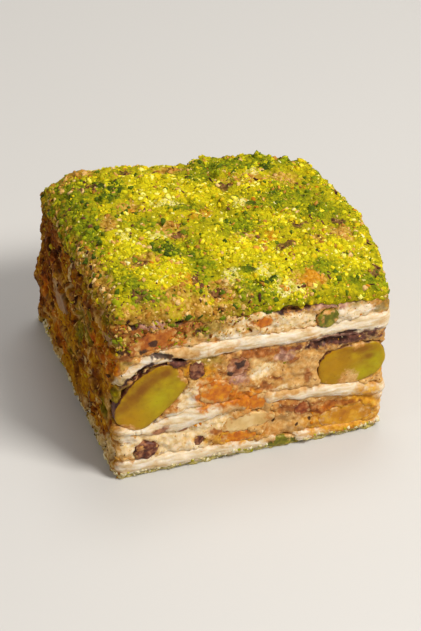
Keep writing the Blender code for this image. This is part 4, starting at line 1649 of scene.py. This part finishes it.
CUT_CHIPS = {
    "cut_nut_bits": (("BC8C56", "D2A870", "E6C898", "F0DCB8"), 0.9, (0.3, 1.3), in_clouds(31), "paste"),
    "cut_brown_bits": (("64381C", "8E5830", "A87444"), 0.5, (0.3, 0.8), in_clouds(32), "paste"),
    "cut_fruit_bits": (("B46C20", "CC8832", "DCA452"), 0.35, (0.4, 1.3), in_clouds(33), "apricot"),
    "cut_green_bits": (("66661A", "88842A", "A89C40"), 0.7, (0.3, 1.0), near_the_top, "pistachio_coat"),
}
for number, (name, (stops, thickness, sizes, share, slot)) in enumerate(CUT_CHIPS.items()):
    finish = crumb_finish(name, stops)
    lay_crumbs(name, cut_host, share, thickness, sizes, finish, number + 41, sink=0.24)
bpy.data.objects.remove(cut_host)

hem_host = host_from(
    [layers["upper_filling"]],
    lambda middles, normals: (normals[:, 1] < -0.4) & (middles[:, 1] < -21.5) & (middles[:, 2] > 25.0),
    "hem_host",
)


def below_the_hem(places):
    return soft_step(25.0, 29.5, places[:, 2]) * soft_step(4.0, -3.0, places[:, 0])


HEM_CRUMBS = {
    "hem_crumbs_tan": (("9C6E34", "BC9050", "D8B67C"), 1.4, (0.35, 1.3), ROUND_CHIPS),
    "hem_crumbs_brown": (("4A2814", "70421E", "946030"), 0.9, (0.30, 1.1), LONG_CHIPS),
    "hem_crumbs_green": (("5C6410", "7E861A", "A2A030"), 1.2, (0.30, 1.2), ROUND_CHIPS),
}
for number, (name, (stops, thickness, sizes, chips)) in enumerate(HEM_CRUMBS.items()):
    finish = crumb_finish(name, stops)
    lay_crumbs(name, hem_host, below_the_hem, thickness, sizes, finish, number + 51, chips)
bpy.data.objects.remove(hem_host)

foot_host = host_from(
    [layers["base_coat"], layers["base_nougat"]],
    lambda middles, normals: (middles[:, 2] < 1.7) & (middles[:, 2] > 0.4) & (np.abs(normals[:, 2]) < 0.8),
    "foot_host",
)
FOOT_CRUMBS = {
    "foot_crumbs_pale": (("D0C08C", "E6DAB2", "F6EED6"), 3.0, (0.35, 1.3), everywhere),
    "foot_crumbs_green": (("8E8C2A", "ACA440", "C6BC62"), 1.0, (0.30, 1.1), everywhere),
}
for number, (name, (stops, thickness, sizes, share)) in enumerate(FOOT_CRUMBS.items()):
    finish = crumb_finish(name, stops)
    lay_crumbs(name, foot_host, share, thickness, sizes, finish, number + 61)
bpy.data.objects.remove(foot_host)

for kit in KITS:
    for shape in list(kit.objects):
        bpy.data.objects.remove(shape)
    bpy.data.collections.remove(kit)

# %% [markdown]
# ## Floor, camera and light
#
# The floor is plain and pale. The camera looks as the photograph does: from 17 degrees left of the front
# face and 38 degrees above level, 0.59 m away, with a long lens so that the piece fills the picture. The
# light comes from the right, above the front, so the top glows, the cut face is well lit and the left
# wall is in shade.

# %% Stage

foot_low, foot_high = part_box("base_coat")
middle = (foot_low + foot_high) / 2


def direction(azimuth, elevation):
    """The way from the piece to a thing seen at those angles, in degrees."""
    a, e = math.radians(azimuth), math.radians(elevation)
    return Vector((math.sin(a) * math.cos(e), -math.cos(a) * math.cos(e), math.sin(e)))


floor_mesh = bpy.data.meshes.new("floor")
floor_mesh.from_pydata([(-3, -3, 0), (3, -3, 0), (3, 3, 0), (-3, 3, 0)], [], [(0, 1, 2, 3)])
floor = bpy.data.objects.new("floor", floor_mesh)
scene.collection.objects.link(floor)
floor_finish = Finish("floor", roughness=0.9, specular=0.1)
floor_finish.shader.inputs["Base Color"].default_value = (0.60, 0.60, 0.60, 1)
floor_mesh.materials.append(floor_finish.material)

CAMERA_AZIMUTH, CAMERA_ELEVATION, CAMERA_DISTANCE = -17.2, 38.0, 0.589
aim = Vector((middle.x + 0.54 * MM, middle.y - 1.65 * MM, 13.2 * MM))
camera_data = bpy.data.cameras.new("camera")
camera_data.lens = 196.5
camera_data.sensor_width = 36
camera_data.clip_start = 0.01
camera = bpy.data.objects.new("camera", camera_data)
scene.collection.objects.link(camera)
back = direction(CAMERA_AZIMUTH, CAMERA_ELEVATION)
camera.location = aim + back * CAMERA_DISTANCE
camera.rotation_euler = back.to_track_quat("Z", "Y").to_euler()
scene.camera = camera


def soft_box(name, azimuth, elevation, distance, size, power, colour):
    """A square soft light that faces the piece."""
    data = bpy.data.lights.new(name, "AREA")
    data.shape = "SQUARE"
    data.size = size
    data.energy = power
    data.color = colour
    lamp = bpy.data.objects.new(name, data)
    scene.collection.objects.link(lamp)
    way = direction(azimuth, elevation)
    lamp.location = Vector((0, 0, 15 * MM)) + way * distance
    lamp.rotation_euler = way.to_track_quat("Z", "Y").to_euler()


soft_box("key", 38, 52, 0.55, 0.16, 2.95, (1.0, 0.95, 0.87))
soft_box("top", 150, 70, 0.60, 0.25, 1.0, (1.0, 0.97, 0.92))
soft_box("fill", -75, 22, 0.70, 0.30, 0.5, (1.0, 0.90, 0.78))
world = bpy.data.worlds.new("studio")
world.use_nodes = True
world.node_tree.nodes["Background"].inputs["Color"].default_value = (1.0, 0.94, 0.87, 1)
world.node_tree.nodes["Background"].inputs["Strength"].default_value = 0.30
scene.world = world
scene.view_settings.view_transform = "Standard"
print("Camera", [round(value, 3) for value in camera.location])
